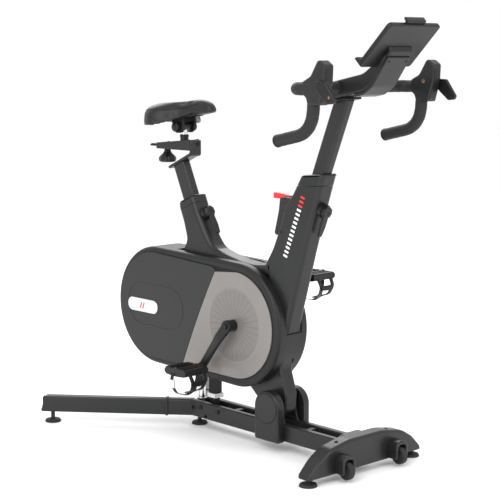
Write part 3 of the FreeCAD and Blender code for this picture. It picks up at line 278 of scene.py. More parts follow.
def slab(name: str, loop: Array | Outline, profile: Array, body: str, finish: "Finish",
         basis: tuple | Plane = Plane.SIDE,
         origin: tuple = (0, 0, 0), sharp: float = 40.0) -> bpy.types.Object:
    """Outline carried along its normal axis, drawn inwards by the profile's inset, with both ends closed.

    A point is origin + (u, v) on the outline less inset times its normal, plus height along the third axis.

    Args:
        name: Object name.
        loop: Anticlockwise outline in the first two basis axes, or a function that draws it at an inset.
        profile: Inset and height pairs.
        body: CAD body that it rides on.
        finish: Its material.
        basis: A plane, or three unit axes.
        origin: Where the outline's zero lies, counted from the crank axis.
        sharp: Angle past which an edge stays sharp.

    Returns:
        The object.
    """
    axes = np.array(basis.value if isinstance(basis, Plane) else basis, float)
    if callable(loop):
        flat = np.stack([loop(inset=inset) for inset in profile[:, 0]])
    else:
        flat = loop[None] - profile[:, None, :1] * outline_normals(loop)[None]
    heights = np.broadcast_to(profile[:, None, 1:], flat.shape[:2] + (1,))
    points = np.concatenate([flat, heights], 2).reshape(-1, 3) @ axes + np.array(origin, float)
    rows, columns = flat.shape[:2]
    faces = grid_faces(rows, columns)
    faces.append(list(range(columns))[::-1])
    faces.append([(rows - 1) * columns + index for index in range(columns)])
    return piece(name, points, faces, body, finish, sharp)


def lathe(name: str, profile: list, centre: tuple, axis: tuple, body: str, finish: "Finish",
          count: int = 48,
          ribs: int = 0, rib_depth: float = 0.0, sharp: float = 35.0) -> bpy.types.Object:
    """Turned surface: each profile point's radius swept round the axis, with optional flutes.

    A flute changes the radius by depth times the squared cosine of half the rib count times the angle.

    Args:
        name: Object name.
        profile: Radius and height pairs; it closes at both ends.
        centre: A point on the axis, counted from the crank axis.
        axis: Direction of growing height.
        body: CAD body that it rides on.
        finish: Its material.
        count: Points round the axis.
        ribs: Number of flutes.
        rib_depth: Depth of a flute.
        sharp: Angle past which an edge stays sharp.

    Returns:
        The object.
    """
    axis = np.array(axis, float) / np.linalg.norm(axis)
    first = np.cross(axis, [0, 1, 0] if abs(axis[1]) < 0.9 else [1, 0, 0])
    first /= np.linalg.norm(first)
    second = np.cross(axis, first)
    angles = np.linspace(0, 2 * math.pi, count, endpoint=False)
    pairs = np.array(profile, float)
    flutes = (rib_depth * np.cos(angles * ribs / 2) ** 2)[None]
    radius = pairs[:, :1] - flutes * (pairs[:, :1] > rib_depth * 3)
    ring = np.cos(angles)[:, None] * first + np.sin(angles)[:, None] * second
    points = radius[..., None] * ring[None] + pairs[:, 1][:, None, None] * axis + np.array(centre, float)
    rows = len(pairs)
    faces = grid_faces(rows, count)
    faces.append(list(range(count))[::-1])
    faces.append([(rows - 1) * count + index for index in range(count)])
    return piece(name, points.reshape(-1, 3), faces, body, finish, sharp)


def smooth_path(points: list, radii: float | list, step: float = 4.0) -> Array:
    """Open path of straight runs and tangent arcs, resampled at even steps.

    Args:
        points: Corner points in millimetres.
        radii: Radius at each inner corner.
        step: Distance between samples.

    Returns:
        An N by 3 array.
    """
    corners = np.array(points, float)
    radii = np.broadcast_to(np.array(radii, float), (len(corners) - 2,))
    line = [corners[:1]]
    for before, corner, after, radius in zip(corners, corners[1:], corners[2:], radii):
        back, ahead = before - corner, after - corner
        back, ahead = back / np.linalg.norm(back), ahead / np.linalg.norm(ahead)
        half = math.acos(float(np.clip(back @ ahead, -1, 1))) / 2
        trim = radius / math.tan(half)
        share = np.linspace(0, 1, 13)[:, None]
        line.append((1 - share) ** 2 * (corner + back * trim) + 2 * share * (1 - share) * corner
                    + share ** 2 * (corner + ahead * trim))
    line = np.concatenate(line + [corners[-1:]])
    travel = np.concatenate([[0], np.cumsum(np.linalg.norm(np.diff(line, axis=0), axis=1))])
    even = np.linspace(0, travel[-1], max(int(travel[-1] / step), 2))
    return np.stack([np.interp(even, travel, line[:, axis]) for axis in range(3)], 1)


def sweep(name: str, path: Array, section: Array, body: str, finish: "Finish", scale: Array | None = None,
          side: tuple = (0, 1, 0), ends: float = 0.0, sharp: float = 40.0) -> bpy.types.Object:
    """Section carried along a path, square to it, with rounded or flat ends.

    The section's first axis is the path's tangent crossed with side, and its second axis is across both.

    Args:
        name: Object name.
        path: N by 3 points.
        section: Closed outline, or one outline for each path point.
        body: CAD body that it rides on.
        finish: Its material.
        scale: Factor at each path point.
        side: Direction that fixes the section's turn.
        ends: Length over which each end is rounded.
        sharp: Angle past which an edge stays sharp.

    Returns:
        The object.
    """
    tangent = np.gradient(path, axis=0)
    tangent /= np.linalg.norm(tangent, axis=1, keepdims=True)
    hint = np.broadcast_to(np.array(side, float), tangent.shape) if np.ndim(side) == 1 else side
    first = np.cross(tangent, hint)
    first /= np.linalg.norm(first, axis=1, keepdims=True)
    second = np.cross(first, tangent)
    size = np.ones(len(path)) if scale is None else np.array(scale, float)
    if ends > 0:
        travel = np.concatenate([[0], np.cumsum(np.linalg.norm(np.diff(path, axis=0), axis=1))])
        near = np.clip(np.minimum(travel, travel[-1] - travel) / ends, 0.04, 1)
        size = size * np.sqrt(1 - (1 - near) ** 2)
    shape = np.broadcast_to(section, (len(path),) + section.shape[-2:]) * size[:, None, None]
    points = path[:, None] + shape[..., :1] * first[:, None] + shape[..., 1:] * second[:, None]
    rows, columns = points.shape[:2]
    faces = grid_faces(rows, columns)
    faces.append(list(range(columns))[::-1])
    faces.append([(rows - 1) * columns + index for index in range(columns)])
    return piece(name, points.reshape(-1, 3), faces, body, finish, sharp)


def box_section(wide: float, deep: float, radius: float) -> Array:
    """Rounded rectangle about the origin."""
    half_wide, half_deep = wide / 2, deep / 2
    return rounded([(-half_wide, -half_deep), (half_wide, -half_deep), (half_wide, half_deep),
                    (-half_wide, half_deep)], radius, 5)


def member(name: str, pairs: list, half: float, radius: float, body: str, finish: "Finish",
           crown: float = 0.0,
           relax: int = 30) -> bpy.types.Object:
    """Tube drawn between two edges: at each station a rounded rectangle spans the two edges.

    Stations are spaced evenly between the given pairs and relaxed, so the edges bend smoothly. At the last
    station the section draws inwards by crown times one less the cosine, while it rises by crown times the
    sine.

    Args:
        name: Object name.
        pairs: Rear and front points, from the first station to the last.
        half: Half of the width across.
        radius: Radius of the section's corners.
        body: CAD body that it rides on.
        finish: Its material.
        crown: Rounding at the last station.
        relax: Smoothing passes over the stations.

    Returns:
        The object.
    """
    keys = np.array(pairs, float).reshape(len(pairs), 4)
    travel = np.concatenate([[0], np.cumsum(np.linalg.norm(np.diff(keys, axis=0), axis=1))])
    even = np.linspace(0, travel[-1], max(int(travel[-1] / 4), 8))
    line = np.stack([np.interp(even, travel, keys[:, column]) for column in range(4)], 1)
    for _ in range(relax if len(pairs) > 2 else 0):
        line[1:-1] = line[1:-1] * 0.5 + (line[:-2] + line[2:]) * 0.25
    rings = []
    lift = crown * np.sin(np.linspace(0, math.pi / 2, 7)) if crown else np.zeros(1)
    draw = crown * (1 - np.cos(np.linspace(0, math.pi / 2, 7))) if crown else np.zeros(1)
    stations = [(row, 0.0, 0.0) for row in line[:-1]] + [(line[-1], up - crown, inward) for up,
                                                         inward in zip(lift, draw)]
    for (rear_x, rear_z, front_x, front_z), up, inward in stations:
        rear, front = np.array([rear_x, 0, rear_z]), np.array([front_x, 0, front_z])
        deep = np.linalg.norm(front - rear)
        along = (front - rear) / deep
        rise = np.cross(along, [0, 1, 0]) * -1
        rise = rise if rise[2] > 0 or abs(rise[2]) < 0.2 else -rise
        section = rounded([(-deep / 2, -half), (deep / 2, -half), (deep / 2, half), (-deep / 2, half)],
                          min(radius, deep / 2 - 0.5), 8, inward)
        middle = (rear + front) / 2 + rise * up
        rings.append(middle + section[:, :1] * along + section[:, 1:] * np.array(SIDEWAYS))
    rows, columns = len(rings), len(rings[0])
    faces = grid_faces(rows, columns)
    faces.append(list(range(columns))[::-1])
    faces.append([(rows - 1) * columns + index for index in range(columns)])
    return piece(name, np.concatenate(rings), faces, body, finish)


def soft_copy(node: str, radius: float, finish: "Finish", angle: float = 30.0) -> bpy.types.Object:
    """Copy of a CAD node with its faces merged and its edges rounded, which stands for the node.

    Args:
        node: CAD node name.
        radius: Edge radius in millimetres.
        finish: Its material.
        angle: Least angle of an edge that is rounded.

    Returns:
        The object.
    """
    source = frame["nodes"][node]
    mesh = source.data.copy()
    mesh.name = f"{node}_soft"
    made = bmesh.new()
    made.from_mesh(mesh)
    bmesh.ops.remove_doubles(made, verts=made.verts, dist=2e-5)
    bmesh.ops.dissolve_limit(made, angle_limit=math.radians(1.0), verts=made.verts, edges=made.edges)
    made.to_mesh(mesh)
    made.free()
    mesh.polygons.foreach_set("use_smooth", [True] * len(mesh.polygons))
    mesh.set_sharp_from_angle(angle=math.radians(angle))
    mesh.materials.clear()
    mesh.materials.append(finish.material())
    thing = bpy.data.objects.new(f"{node}_soft", mesh)
    bpy.context.scene.collection.objects.link(thing)
    bevel = thing.modifiers.new("round_edges", "BEVEL")
    bevel.width = radius * MM
    bevel.segments = 3
    bevel.limit_method = "ANGLE"
    bevel.angle_limit = math.radians(angle)
    bevel.harden_normals = False
    weigh = thing.modifiers.new("weigh_normals", "WEIGHTED_NORMAL")
    weigh.keep_sharp = False
    bodies = frame["record"]["behaviour"]["bodies"]
    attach(thing, next(body for body, nodes in bodies.items() if node in nodes))
    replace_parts(thing, node)
    return thing


# ------------------------------------------------------------------ finishes


class Effect:
    """Shader node groups that more than one finish uses, each built once."""

    made: dict = {}

    @classmethod
    def group(cls, name: str, inputs: dict, outputs: dict) -> tuple:
        """A new node group with named sockets.

        Args:
            name: Group name.
            inputs: Socket name to (type, default).
            outputs: Socket name to type.

        Returns:
            The group, its input node and its output node.
        """
        group = bpy.data.node_groups.new(name, "ShaderNodeTree")
        for label, (kind, default) in inputs.items():
            socket = group.interface.new_socket(label, in_out="INPUT", socket_type=kind)
            if default is not None:
                socket.default_value = default
        for label, kind in outputs.items():
            group.interface.new_socket(label, in_out="OUTPUT", socket_type=kind)
        return group, group.nodes.new("NodeGroupInput"), group.nodes.new("NodeGroupOutput")

    @classmethod
    def grain(cls) -> bpy.types.NodeTree:
        """Moulded or sprayed grain: a fine noise as bump, and a broad noise that shifts tone and gloss."""
        if "grain" in cls.made:
            return cls.made["grain"]
        group, source, sink = cls.group("fine_grain", {
            "Vector": ("NodeSocketVector", None), "Scale": ("NodeSocketFloat", 900.0),
            "Depth": ("NodeSocketFloat", 0.1), "Roughness": ("NodeSocketFloat", 0.5),
            "Spread": ("NodeSocketFloat", 0.08)},
            {"Tone": "NodeSocketFloat", "Roughness": "NodeSocketFloat", "Normal": "NodeSocketVector"})
        nodes, links = group.nodes, group.links
        fine = nodes.new("ShaderNodeTexNoise")
        fine.inputs["Detail"].default_value = 3.0
        links.new(source.outputs["Vector"], fine.inputs["Vector"])
        links.new(source.outputs["Scale"], fine.inputs["Scale"])
        bump = nodes.new("ShaderNodeBump")
        bump.inputs["Distance"].default_value = 0.0006
        links.new(source.outputs["Depth"], bump.inputs["Strength"])
        links.new(fine.outputs["Fac"], bump.inputs["Height"])
        broad = nodes.new("ShaderNodeTexNoise")
        broad.inputs["Scale"].default_value = 14.0
        broad.inputs["Detail"].default_value = 5.0
        links.new(source.outputs["Vector"], broad.inputs["Vector"])
        centred = nodes.new("ShaderNodeMath")
        centred.operation = "SUBTRACT"
        centred.inputs[1].default_value = 0.5
        links.new(broad.outputs["Fac"], centred.inputs[0])
        shift = nodes.new("ShaderNodeMath")
        shift.operation = "MULTIPLY_ADD"
        links.new(centred.outputs[0], shift.inputs[0])
        links.new(source.outputs["Spread"], shift.inputs[1])
        links.new(source.outputs["Roughness"], shift.inputs[2])
        links.new(broad.outputs["Fac"], sink.inputs["Tone"])
        links.new(shift.outputs[0], sink.inputs["Roughness"])
        links.new(bump.outputs["Normal"], sink.inputs["Normal"])
        cls.made["grain"] = group
        return group

    @classmethod
    def wear(cls) -> bpy.types.NodeTree:
        """Edge wear: a mask where the surface turns sharply outwards, broken up by noise."""
        if "wear" in cls.made:
            return cls.made["wear"]
        group, source, sink = cls.group("edge_wear", {
            "Vector": ("NodeSocketVector", None), "Amount": ("NodeSocketFloat", 0.3)},
                                        {"Mask": "NodeSocketFloat"})
        nodes, links = group.nodes, group.links
        shape = nodes.new("ShaderNodeNewGeometry")
        ramp = nodes.new("ShaderNodeMapRange")
        ramp.inputs["From Min"].default_value = 0.53
        ramp.inputs["From Max"].default_value = 0.62
        links.new(shape.outputs["Pointiness"], ramp.inputs["Value"])
        noise = nodes.new("ShaderNodeTexNoise")
        noise.inputs["Scale"].default_value = 60.0
        noise.inputs["Detail"].default_value = 4.0
        links.new(source.outputs["Vector"], noise.inputs["Vector"])
        broken = nodes.new("ShaderNodeMath")
        broken.operation = "MULTIPLY"
        links.new(ramp.outputs["Result"], broken.inputs[0])
        links.new(noise.outputs["Fac"], broken.inputs[1])
        scaled = nodes.new("ShaderNodeMath")
        scaled.operation = "MULTIPLY"
        links.new(broken.outputs[0], scaled.inputs[0])
        links.new(source.outputs["Amount"], scaled.inputs[1])
        links.new(scaled.outputs[0], sink.inputs["Mask"])
        cls.made["wear"] = group
        return group

    @classmethod
    def weave(cls) -> bpy.types.NodeTree:
        """Woven webbing: two crossed sets of threads as a height."""
        if "weave" in cls.made:
            return cls.made["weave"]
        group, source, sink = cls.group("woven_threads", {
            "Vector": ("NodeSocketVector", None), "Scale": ("NodeSocketFloat", 300.0)},
            {"Height": "NodeSocketFloat"})
        nodes, links = group.nodes, group.links
        bands = []
        for direction in ("X", "Y"):
            wave = nodes.new("ShaderNodeTexWave")
            wave.bands_direction = direction
            wave.inputs["Distortion"].default_value = 0.6
            links.new(source.outputs["Vector"], wave.inputs["Vector"])
            links.new(source.outputs["Scale"], wave.inputs["Scale"])
            bands.append(wave)
        join = nodes.new("ShaderNodeMath")
        join.operation = "MULTIPLY"
        links.new(bands[0].outputs["Fac"], join.inputs[0])
        links.new(bands[1].outputs["Fac"], join.inputs[1])
        links.new(join.outputs[0], sink.inputs["Height"])
        cls.made["weave"] = group
        return group


@dataclass(frozen=True)
class Finish:
    """One surface finish: its colours, gloss, grain and wear."""

    name: str
    slot: str
    color: tuple
    light: tuple
    roughness: float = 0.5
    metallic: float = 0.0
    grain: float = 900.0
    depth: float = 0.12
    spread: float = 0.1
    wear: float = 0.25
    coat: float = 0.0
    specular: float = 0.32
    woven: bool = False

    def material(self) -> bpy.types.Material:
        """The finish's material, built on first use.

        Returns:
            The material, shared by every piece with this finish.
        """
        if self.name in bpy.data.materials:
            return bpy.data.materials[self.name]
        made = bpy.data.materials.new(self.name)
        made.use_nodes = True
        nodes, links = made.node_tree.nodes, made.node_tree.links
        shader = nodes["Principled BSDF"]
        shader.inputs["Metallic"].default_value = self.metallic
        shader.inputs["Coat Weight"].default_value = self.coat
        shader.inputs["Coat Roughness"].default_value = 0.12
        shader.inputs["Specular IOR Level"].default_value = self.specular
        place = nodes.new("ShaderNodeTexCoord")
        grain = nodes.new("ShaderNodeGroup")
        grain.node_tree = Effect.grain()
        grain.inputs["Scale"].default_value = self.grain
        grain.inputs["Depth"].default_value = self.depth
        grain.inputs["Roughness"].default_value = self.roughness
        grain.inputs["Spread"].default_value = self.spread
        links.new(place.outputs["Object"], grain.inputs["Vector"])
        wear = nodes.new("ShaderNodeGroup")
        wear.node_tree = Effect.wear()
        wear.inputs["Amount"].default_value = self.wear
        links.new(place.outputs["Object"], wear.inputs["Vector"])
        tone = nodes.new("ShaderNodeMix")
        tone.data_type = "RGBA"
        tone.inputs["A"].default_value = (*self.color, 1)
        tone.inputs["B"].default_value = (*self.light, 1)
        links.new(grain.outputs["Tone"], tone.inputs["Factor"])
        worn = nodes.new("ShaderNodeMix")
        worn.data_type = "RGBA"
        worn.inputs["B"].default_value = tuple(min(value * 2.5 + 0.02, 1) for value in self.light) + (1,)
        links.new(wear.outputs["Mask"], worn.inputs["Factor"])
        links.new(tone.outputs["Result"], worn.inputs["A"])
        links.new(worn.outputs["Result"], shader.inputs["Base Color"])
        links.new(grain.outputs["Roughness"], shader.inputs["Roughness"])
        normal = grain.outputs["Normal"]
        if self.woven:
            weave = nodes.new("ShaderNodeGroup")
            weave.node_tree = Effect.weave()
            links.new(place.outputs["Object"], weave.inputs["Vector"])
            bump = nodes.new("ShaderNodeBump")
            bump.inputs["Distance"].default_value = 0.0006
            bump.inputs["Strength"].default_value = 0.8
            links.new(weave.outputs["Height"], bump.inputs["Height"])
            links.new(grain.outputs["Normal"], bump.inputs["Normal"])
            normal = bump.outputs["Normal"]
        links.new(normal, shader.inputs["Normal"])
        return made


POWDER = Finish("charcoal_powder_coat", "charcoal_metal", (0.0095, 0.0098, 0.0105), (0.014, 0.0143, 0.015),
                0.36, grain=1100, depth=0.16, coat=0.08)
CAST = Finish("charcoal_frame_paint", "frame_plastic", (0.0095, 0.0098, 0.0105), (0.014, 0.0143, 0.015),
              0.34, grain=1300, depth=0.1, coat=0.06)
SHELL = Finish("textured_shell", "shroud_plastic", (0.007, 0.0072, 0.0076), (0.0105, 0.0108, 0.0112), 0.42,
               grain=1500, depth=0.18)
PANEL = Finish("dark_side_panel", "shroud_plastic", (0.017, 0.0173, 0.018), (0.022, 0.0223, 0.023), 0.42,
               grain=1600, depth=0.1, wear=0.15)
SILVER = Finish("warm_silver_paint", "silver_panel", (0.20, 0.189, 0.18), (0.235, 0.223, 0.213), 0.42,
                metallic=0.25, grain=2600, depth=0.1, coat=0.2, wear=0.1)
DISC = Finish("worn_silver_disc", "silver_panel", (0.165, 0.156, 0.149), (0.20, 0.19, 0.182), 0.42,
              metallic=0.25, grain=2600, depth=0.1, coat=0.2, wear=0.1)
SEAM = Finish("black_seam", "shroud_plastic", (0.004, 0.004, 0.004), (0.007, 0.007, 0.007), 0.7, wear=0.0)
BLACK = Finish("black_moulding", "pedal_plastic", (0.0055, 0.0055, 0.006), (0.0095, 0.0095, 0.010), 0.36,
               grain=1000, depth=0.14)
TAPE = Finish("grip_tape", "bar_tape", (0.010, 0.010, 0.0105), (0.017, 0.017, 0.018), 0.60, grain=1400,
              depth=0.5, wear=0.3)
LEATHER = Finish("saddle_leather", "saddle_cover", (0.009, 0.009, 0.0095), (0.014, 0.014, 0.0145), 0.40,
                 grain=700, depth=0.35, wear=0.1)
RUBBER = Finish("black_rubber_finish", "black_rubber", (0.012, 0.012, 0.012), (0.022, 0.022, 0.022), 0.72,
                grain=800, depth=0.3)
CHROME = Finish("bright_plating", "bright_steel", (0.62, 0.62, 0.63), (0.78, 0.78, 0.79), 0.16,
                metallic=1.0, grain=400, depth=0.02, wear=0.0)
STEEL = Finish("black_oxide", "black_steel", (0.010, 0.010, 0.011), (0.020, 0.020, 0.022), 0.34,
               metallic=0.6, grain=900, depth=0.1)
IRON = Finish("machined_iron", "cast_iron", (0.22, 0.22, 0.23), (0.34, 0.34, 0.35), 0.3, metallic=0.9,
              grain=500)
ALLOY = Finish("turned_alloy", "alloy", (0.5, 0.5, 0.52), (0.66, 0.66, 0.68), 0.26, metallic=1.0, grain=600)
WEBBING = Finish("strap_weave", "strap_webbing", (0.010, 0.010, 0.011), (0.022, 0.022, 0.024), 0.75,
                 grain=1200, depth=0.3, woven=True)
RED = Finish("red_lever_gloss", "red_plastic", (0.60, 0.012, 0.014), (0.72, 0.022, 0.022), 0.28, grain=900,
             depth=0.04, coat=0.4, wear=0.1)
WHITE = Finish("white_print", "silver_panel", (0.72, 0.72, 0.71), (0.82, 0.82, 0.81), 0.35, grain=900,
               depth=0.04)
COPPER = Finish("brown_screw", "bright_steel", (0.20, 0.11, 0.07), (0.30, 0.17, 0.11), 0.35, metallic=0.8)


# ------------------------------------------------------------------ sub-assemblies


def pin_head(name: str, x: float, z: float, side: int, face: float, radius: float, body: str,
             finish: Finish, rise: float = 1.2) -> bpy.types.Object:
    """Round screw head with a socket, on a side face.

    Args:
        name: Object name.
        x: Place ahead of the crank axis.
        z: Height.
        side: 1 for left, -1 for right.
        face: Distance of the face from the centre plane.
        radius: Head radius.
        body: CAD body that it rides on.
        finish: Its material.
        rise: Height of the head.

    Returns:
        The head.
    """
    profile = [(0.3, -1), (radius, -1), (radius, rise * 0.5), (radius * 0.8, rise), (radius * 0.5, rise),
               (radius * 0.42, rise * 0.2), (0.3, rise * 0.2)]
    return lathe(name, profile, (x, side * face, z), (0, side, 0), body, finish, 24)


@dataclass
class Shroud:
    """Side panels, seams, hub disc with its rays of dots, and the badge, on the two half shells."""

    face: float = 60.0
    thick: float = 4.0
    front: float = 156.0
    rear: float = 165.0
    seam: float = 3.2
    split_radius: float = 2910.0
    split_middle: tuple = (-153.0, 359.0)
    disc: float = 109.0
    hole: float = 23.5
    rays: int = 30
    ray_reach: tuple = (36.0, 96.0)
    badge: tuple = (-417.0, 352.0, 144.0, 42.0)
    plate: tuple = (-358.5, 358.0, 263.0, 130.0)

    def split_at(self, z: Array) -> Array:
        """The line between the panels, on a wide arc that bulges backwards.

        Args:
            z: Heights.

        Returns:
            The line's x at each height.
        """
        slope = np.array([0.895, -0.444])
        centre = np.array(self.split_middle) + slope * self.split_radius
        return centre[0] - np.sqrt(self.split_radius ** 2 - (z - centre[1]) ** 2)

    def panel_loops(self) -> tuple:
        """Front and rear outlines: the belt outline cut along the split.

        Returns:
            The front panel's loop and the rear panel's loop.
        """
        loop = belt_loop(self.front, self.rear, 160)
        travel = np.linspace(0, len(loop), 900, endpoint=False)
        closed = np.concatenate([loop, loop[:1]])
        loop = np.stack([np.interp(travel, np.arange(len(closed)), closed[:, axis]) for axis in (0, 1)], 1)
        gap = 0.35
        made = []
        for sign in (1, -1):
            keep = (loop[:, 0] - self.split_at(loop[:, 1])) * sign > gap
            start = int(np.argmax(keep & ~np.roll(keep, 1)))
            run = np.roll(loop, -start, 0)[: int(keep.sum())]
            heights = np.linspace(run[-1, 1], run[0, 1], 40)[1:-1]
            seam = np.stack([self.split_at(heights) + sign * gap, heights], 1)
            made.append(np.concatenate([run, seam]))
        return tuple(made)

    def build(self) -> None:
        """Makes both sides' panels and trim."""
        front, rear = self.panel_loops()
        for name, side in SIDES:
            basis = facing(side)
            top = self.face + self.thick
            seam = belt_loop(self.front + self.seam, self.rear + self.seam, 120)
            slab(f"panel_seam_{name}", seam, edge_profile(self.face - 1, self.face + 0.5, 0.1, 0.2, 2),
                 "frame", SEAM, basis)
            wall = edge_profile(self.face, top, 0.1, 1.6, 5)
            silver = self.front_panel(name, side, front, top)
            dark = slab(f"dark_panel_{name}", rear, wall, "frame", PANEL, basis)
            if side > 0:
                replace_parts(silver, "front_panels")
                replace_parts(dark, "side_panels")
            self.ray_dots(name, side, top)
            self.badge_trim(name, side, top, basis)
        log.info("panels, dots and badges")

    def front_panel(self, name: str, side: int, loop: Array, top: float) -> bpy.types.Object:
        """Silver panel around the crank hole, with a slightly raised round disc.

        The surface runs from the panel's edge to the hole as rings that blend the outline into circles.

        Args:
            name: Side name.
            side: 1 or -1.
            loop: Panel outline.
            top: Distance of its face from the centre plane.

        Returns:
            The panel.
        """
        closed = np.concatenate([loop, loop[:1]])
        travel = np.concatenate([[0], np.cumsum(np.linalg.norm(np.diff(closed, axis=0), axis=1))])
        even = np.linspace(0, travel[-1], 360, endpoint=False)
        outline = np.stack([np.interp(even, travel, closed[:, axis]) for axis in (0, 1)], 1)
        angles = np.arctan2(outline[:, 1] - CRANK_Z, outline[:, 0])
        order = np.unwrap(angles)
        inward = outline_normals(outline)
        rings = []
        for inset, height in edge_profile(self.face, top, 0.1, 1.6, 5):
            rings.append(np.column_stack([outline - inset * inward, np.full(len(outline), height)]))
        spokes = np.stack([np.cos(order), np.sin(order)], 1)
        steps = ((self.disc + 3, 0.0), (self.disc + 1.2, 0.05), (self.disc - 1.2, 0.75),
                 (self.disc - 3, 0.8), (70, 0.8), (self.hole + 5, 0.8), (self.hole + 2, 0.4),
                 (self.hole, -0.8), (self.hole, -self.thick))
        for radius, rise in steps:
            flat = spokes * radius + [0, CRANK_Z]
            rings.append(np.column_stack([flat, np.full(len(flat), top + rise)]))
        rings = np.array(rings)
        points = np.stack([rings[..., 0], side * rings[..., 2], rings[..., 1]], -1).reshape(-1, 3)
        faces = grid_faces(len(rings), len(outline))
        last = (len(rings) - 1) * len(outline)
        faces += [[index, (index + 1) % len(outline), last + (index + 1) % len(outline), last + index]
                  for index in range(len(outline))]
        lathe(f"hub_disc_{name}", [(self.hole + 3.0, top - 1), (self.disc - 3, top - 1),
                                   (self.disc - 3, top + 0.95), (self.disc - 4, top + 1.05),
                                   (self.hole + 4, top + 1.05), (self.hole + 3, top + 0.9)],
              (0, 0, CRANK_Z), (0, side, 0), "frame", DISC, 144)
        return piece(f"silver_panel_{name}", points, faces, "frame", SILVER, 50)

    def ray_dots(self, name: str, side: int, top: float) -> None:
        """Rays of small raised dots on the disc: rings of low domes at even angles.

        Args:
            name: Side name.
            side: 1 or -1.
            top: Distance of the panel's face from the centre plane.
        """
        turn = np.linspace(0, 2 * math.pi, self.rays, endpoint=False) + 0.05
        radii = np.linspace(*self.ray_reach, 9)
        stagger = (np.arange(self.rays) % 2)[:, None] * 3.5
        reach = radii[None] + stagger
        x = (reach * np.cos(turn)[:, None]).ravel()
        z = (reach * np.sin(turn)[:, None]).ravel() + CRANK_Z
        ring = np.linspace(0, 2 * math.pi, 8, endpoint=False)
        base = top + 0.98
        rim = np.stack([x[:, None] + 1.25 * np.cos(ring), np.full((len(x), 8), side * base),
                        z[:, None] + 1.25 * np.sin(ring)], -1)
        crown = np.stack([x[:, None] + 0.7 * np.cos(ring), np.full((len(x), 8), side * (base + 0.4)),
                          z[:, None] + 0.7 * np.sin(ring)], -1)
        points = np.concatenate([rim, crown], 1).reshape(-1, 3)
        start = np.arange(len(x))[:, None, None] * 16
        index = np.arange(8)
        after = (index + 1) % 8
        quads = np.stack([index, after, 8 + after, 8 + index], -1)[None] + start
        caps = (8 + index)[None] + start[:, 0]
        foot = index[::-1][None] + start[:, 0]
        faces = quads.reshape(-1, 4).tolist() + caps.tolist() + foot.tolist()
        piece(f"ray_dots_{name}", points, faces, "frame", SEAM, 60)

    def badge_trim(self, name: str, side: int, top: float, basis: tuple) -> None:
        """Plain badge with a bright rim, inside a fine raised outline.

        Args:
            name: Side name.
            side: 1 or -1.
            top: Distance of the panel's face from the centre plane.
            basis: Axes of the panel's face.
        """
        x, z, wide, tall = self.badge
        rim = box_section(wide, tall, tall / 2) + [x, z]
        inner = box_section(wide - 7, tall - 7, (tall - 7) / 2) + [x, z]
        slab(f"badge_rim_{name}", rim, edge_profile(top - 1, top + 3.0, 0.1, 1.4), "frame", CHROME, basis)
        slab(f"badge_face_{name}", inner, edge_profile(top, top + 3.4, 0.1, 0.5), "frame", WHITE, basis)
        for number, shift in enumerate((-9.0, 3.0)):
            bar = corners([(x + shift - 5, z - 10), (x + shift + 1, z - 10), (x + shift + 9, z + 10),
                           (x + shift + 3, z + 10)], 1.5, 3)
            slab(f"badge_stripe_{name}_{number}", bar, edge_profile(top + 3, top + 3.7, 0.1, 0.2, 2),
                 "frame", RED, basis)
        px, pz, pw, pt = self.plate
        outline = box_section(pw, pt, pt / 2) + [px, pz]
        ring = np.column_stack([outline[:, 0], np.full(len(outline), side * top), outline[:, 1]])
        ring = np.concatenate([ring, ring[:2]])
        sweep(f"plate_ridge_{name}", ring, box_section(1.0, 1.6, 0.4), "frame", PANEL)


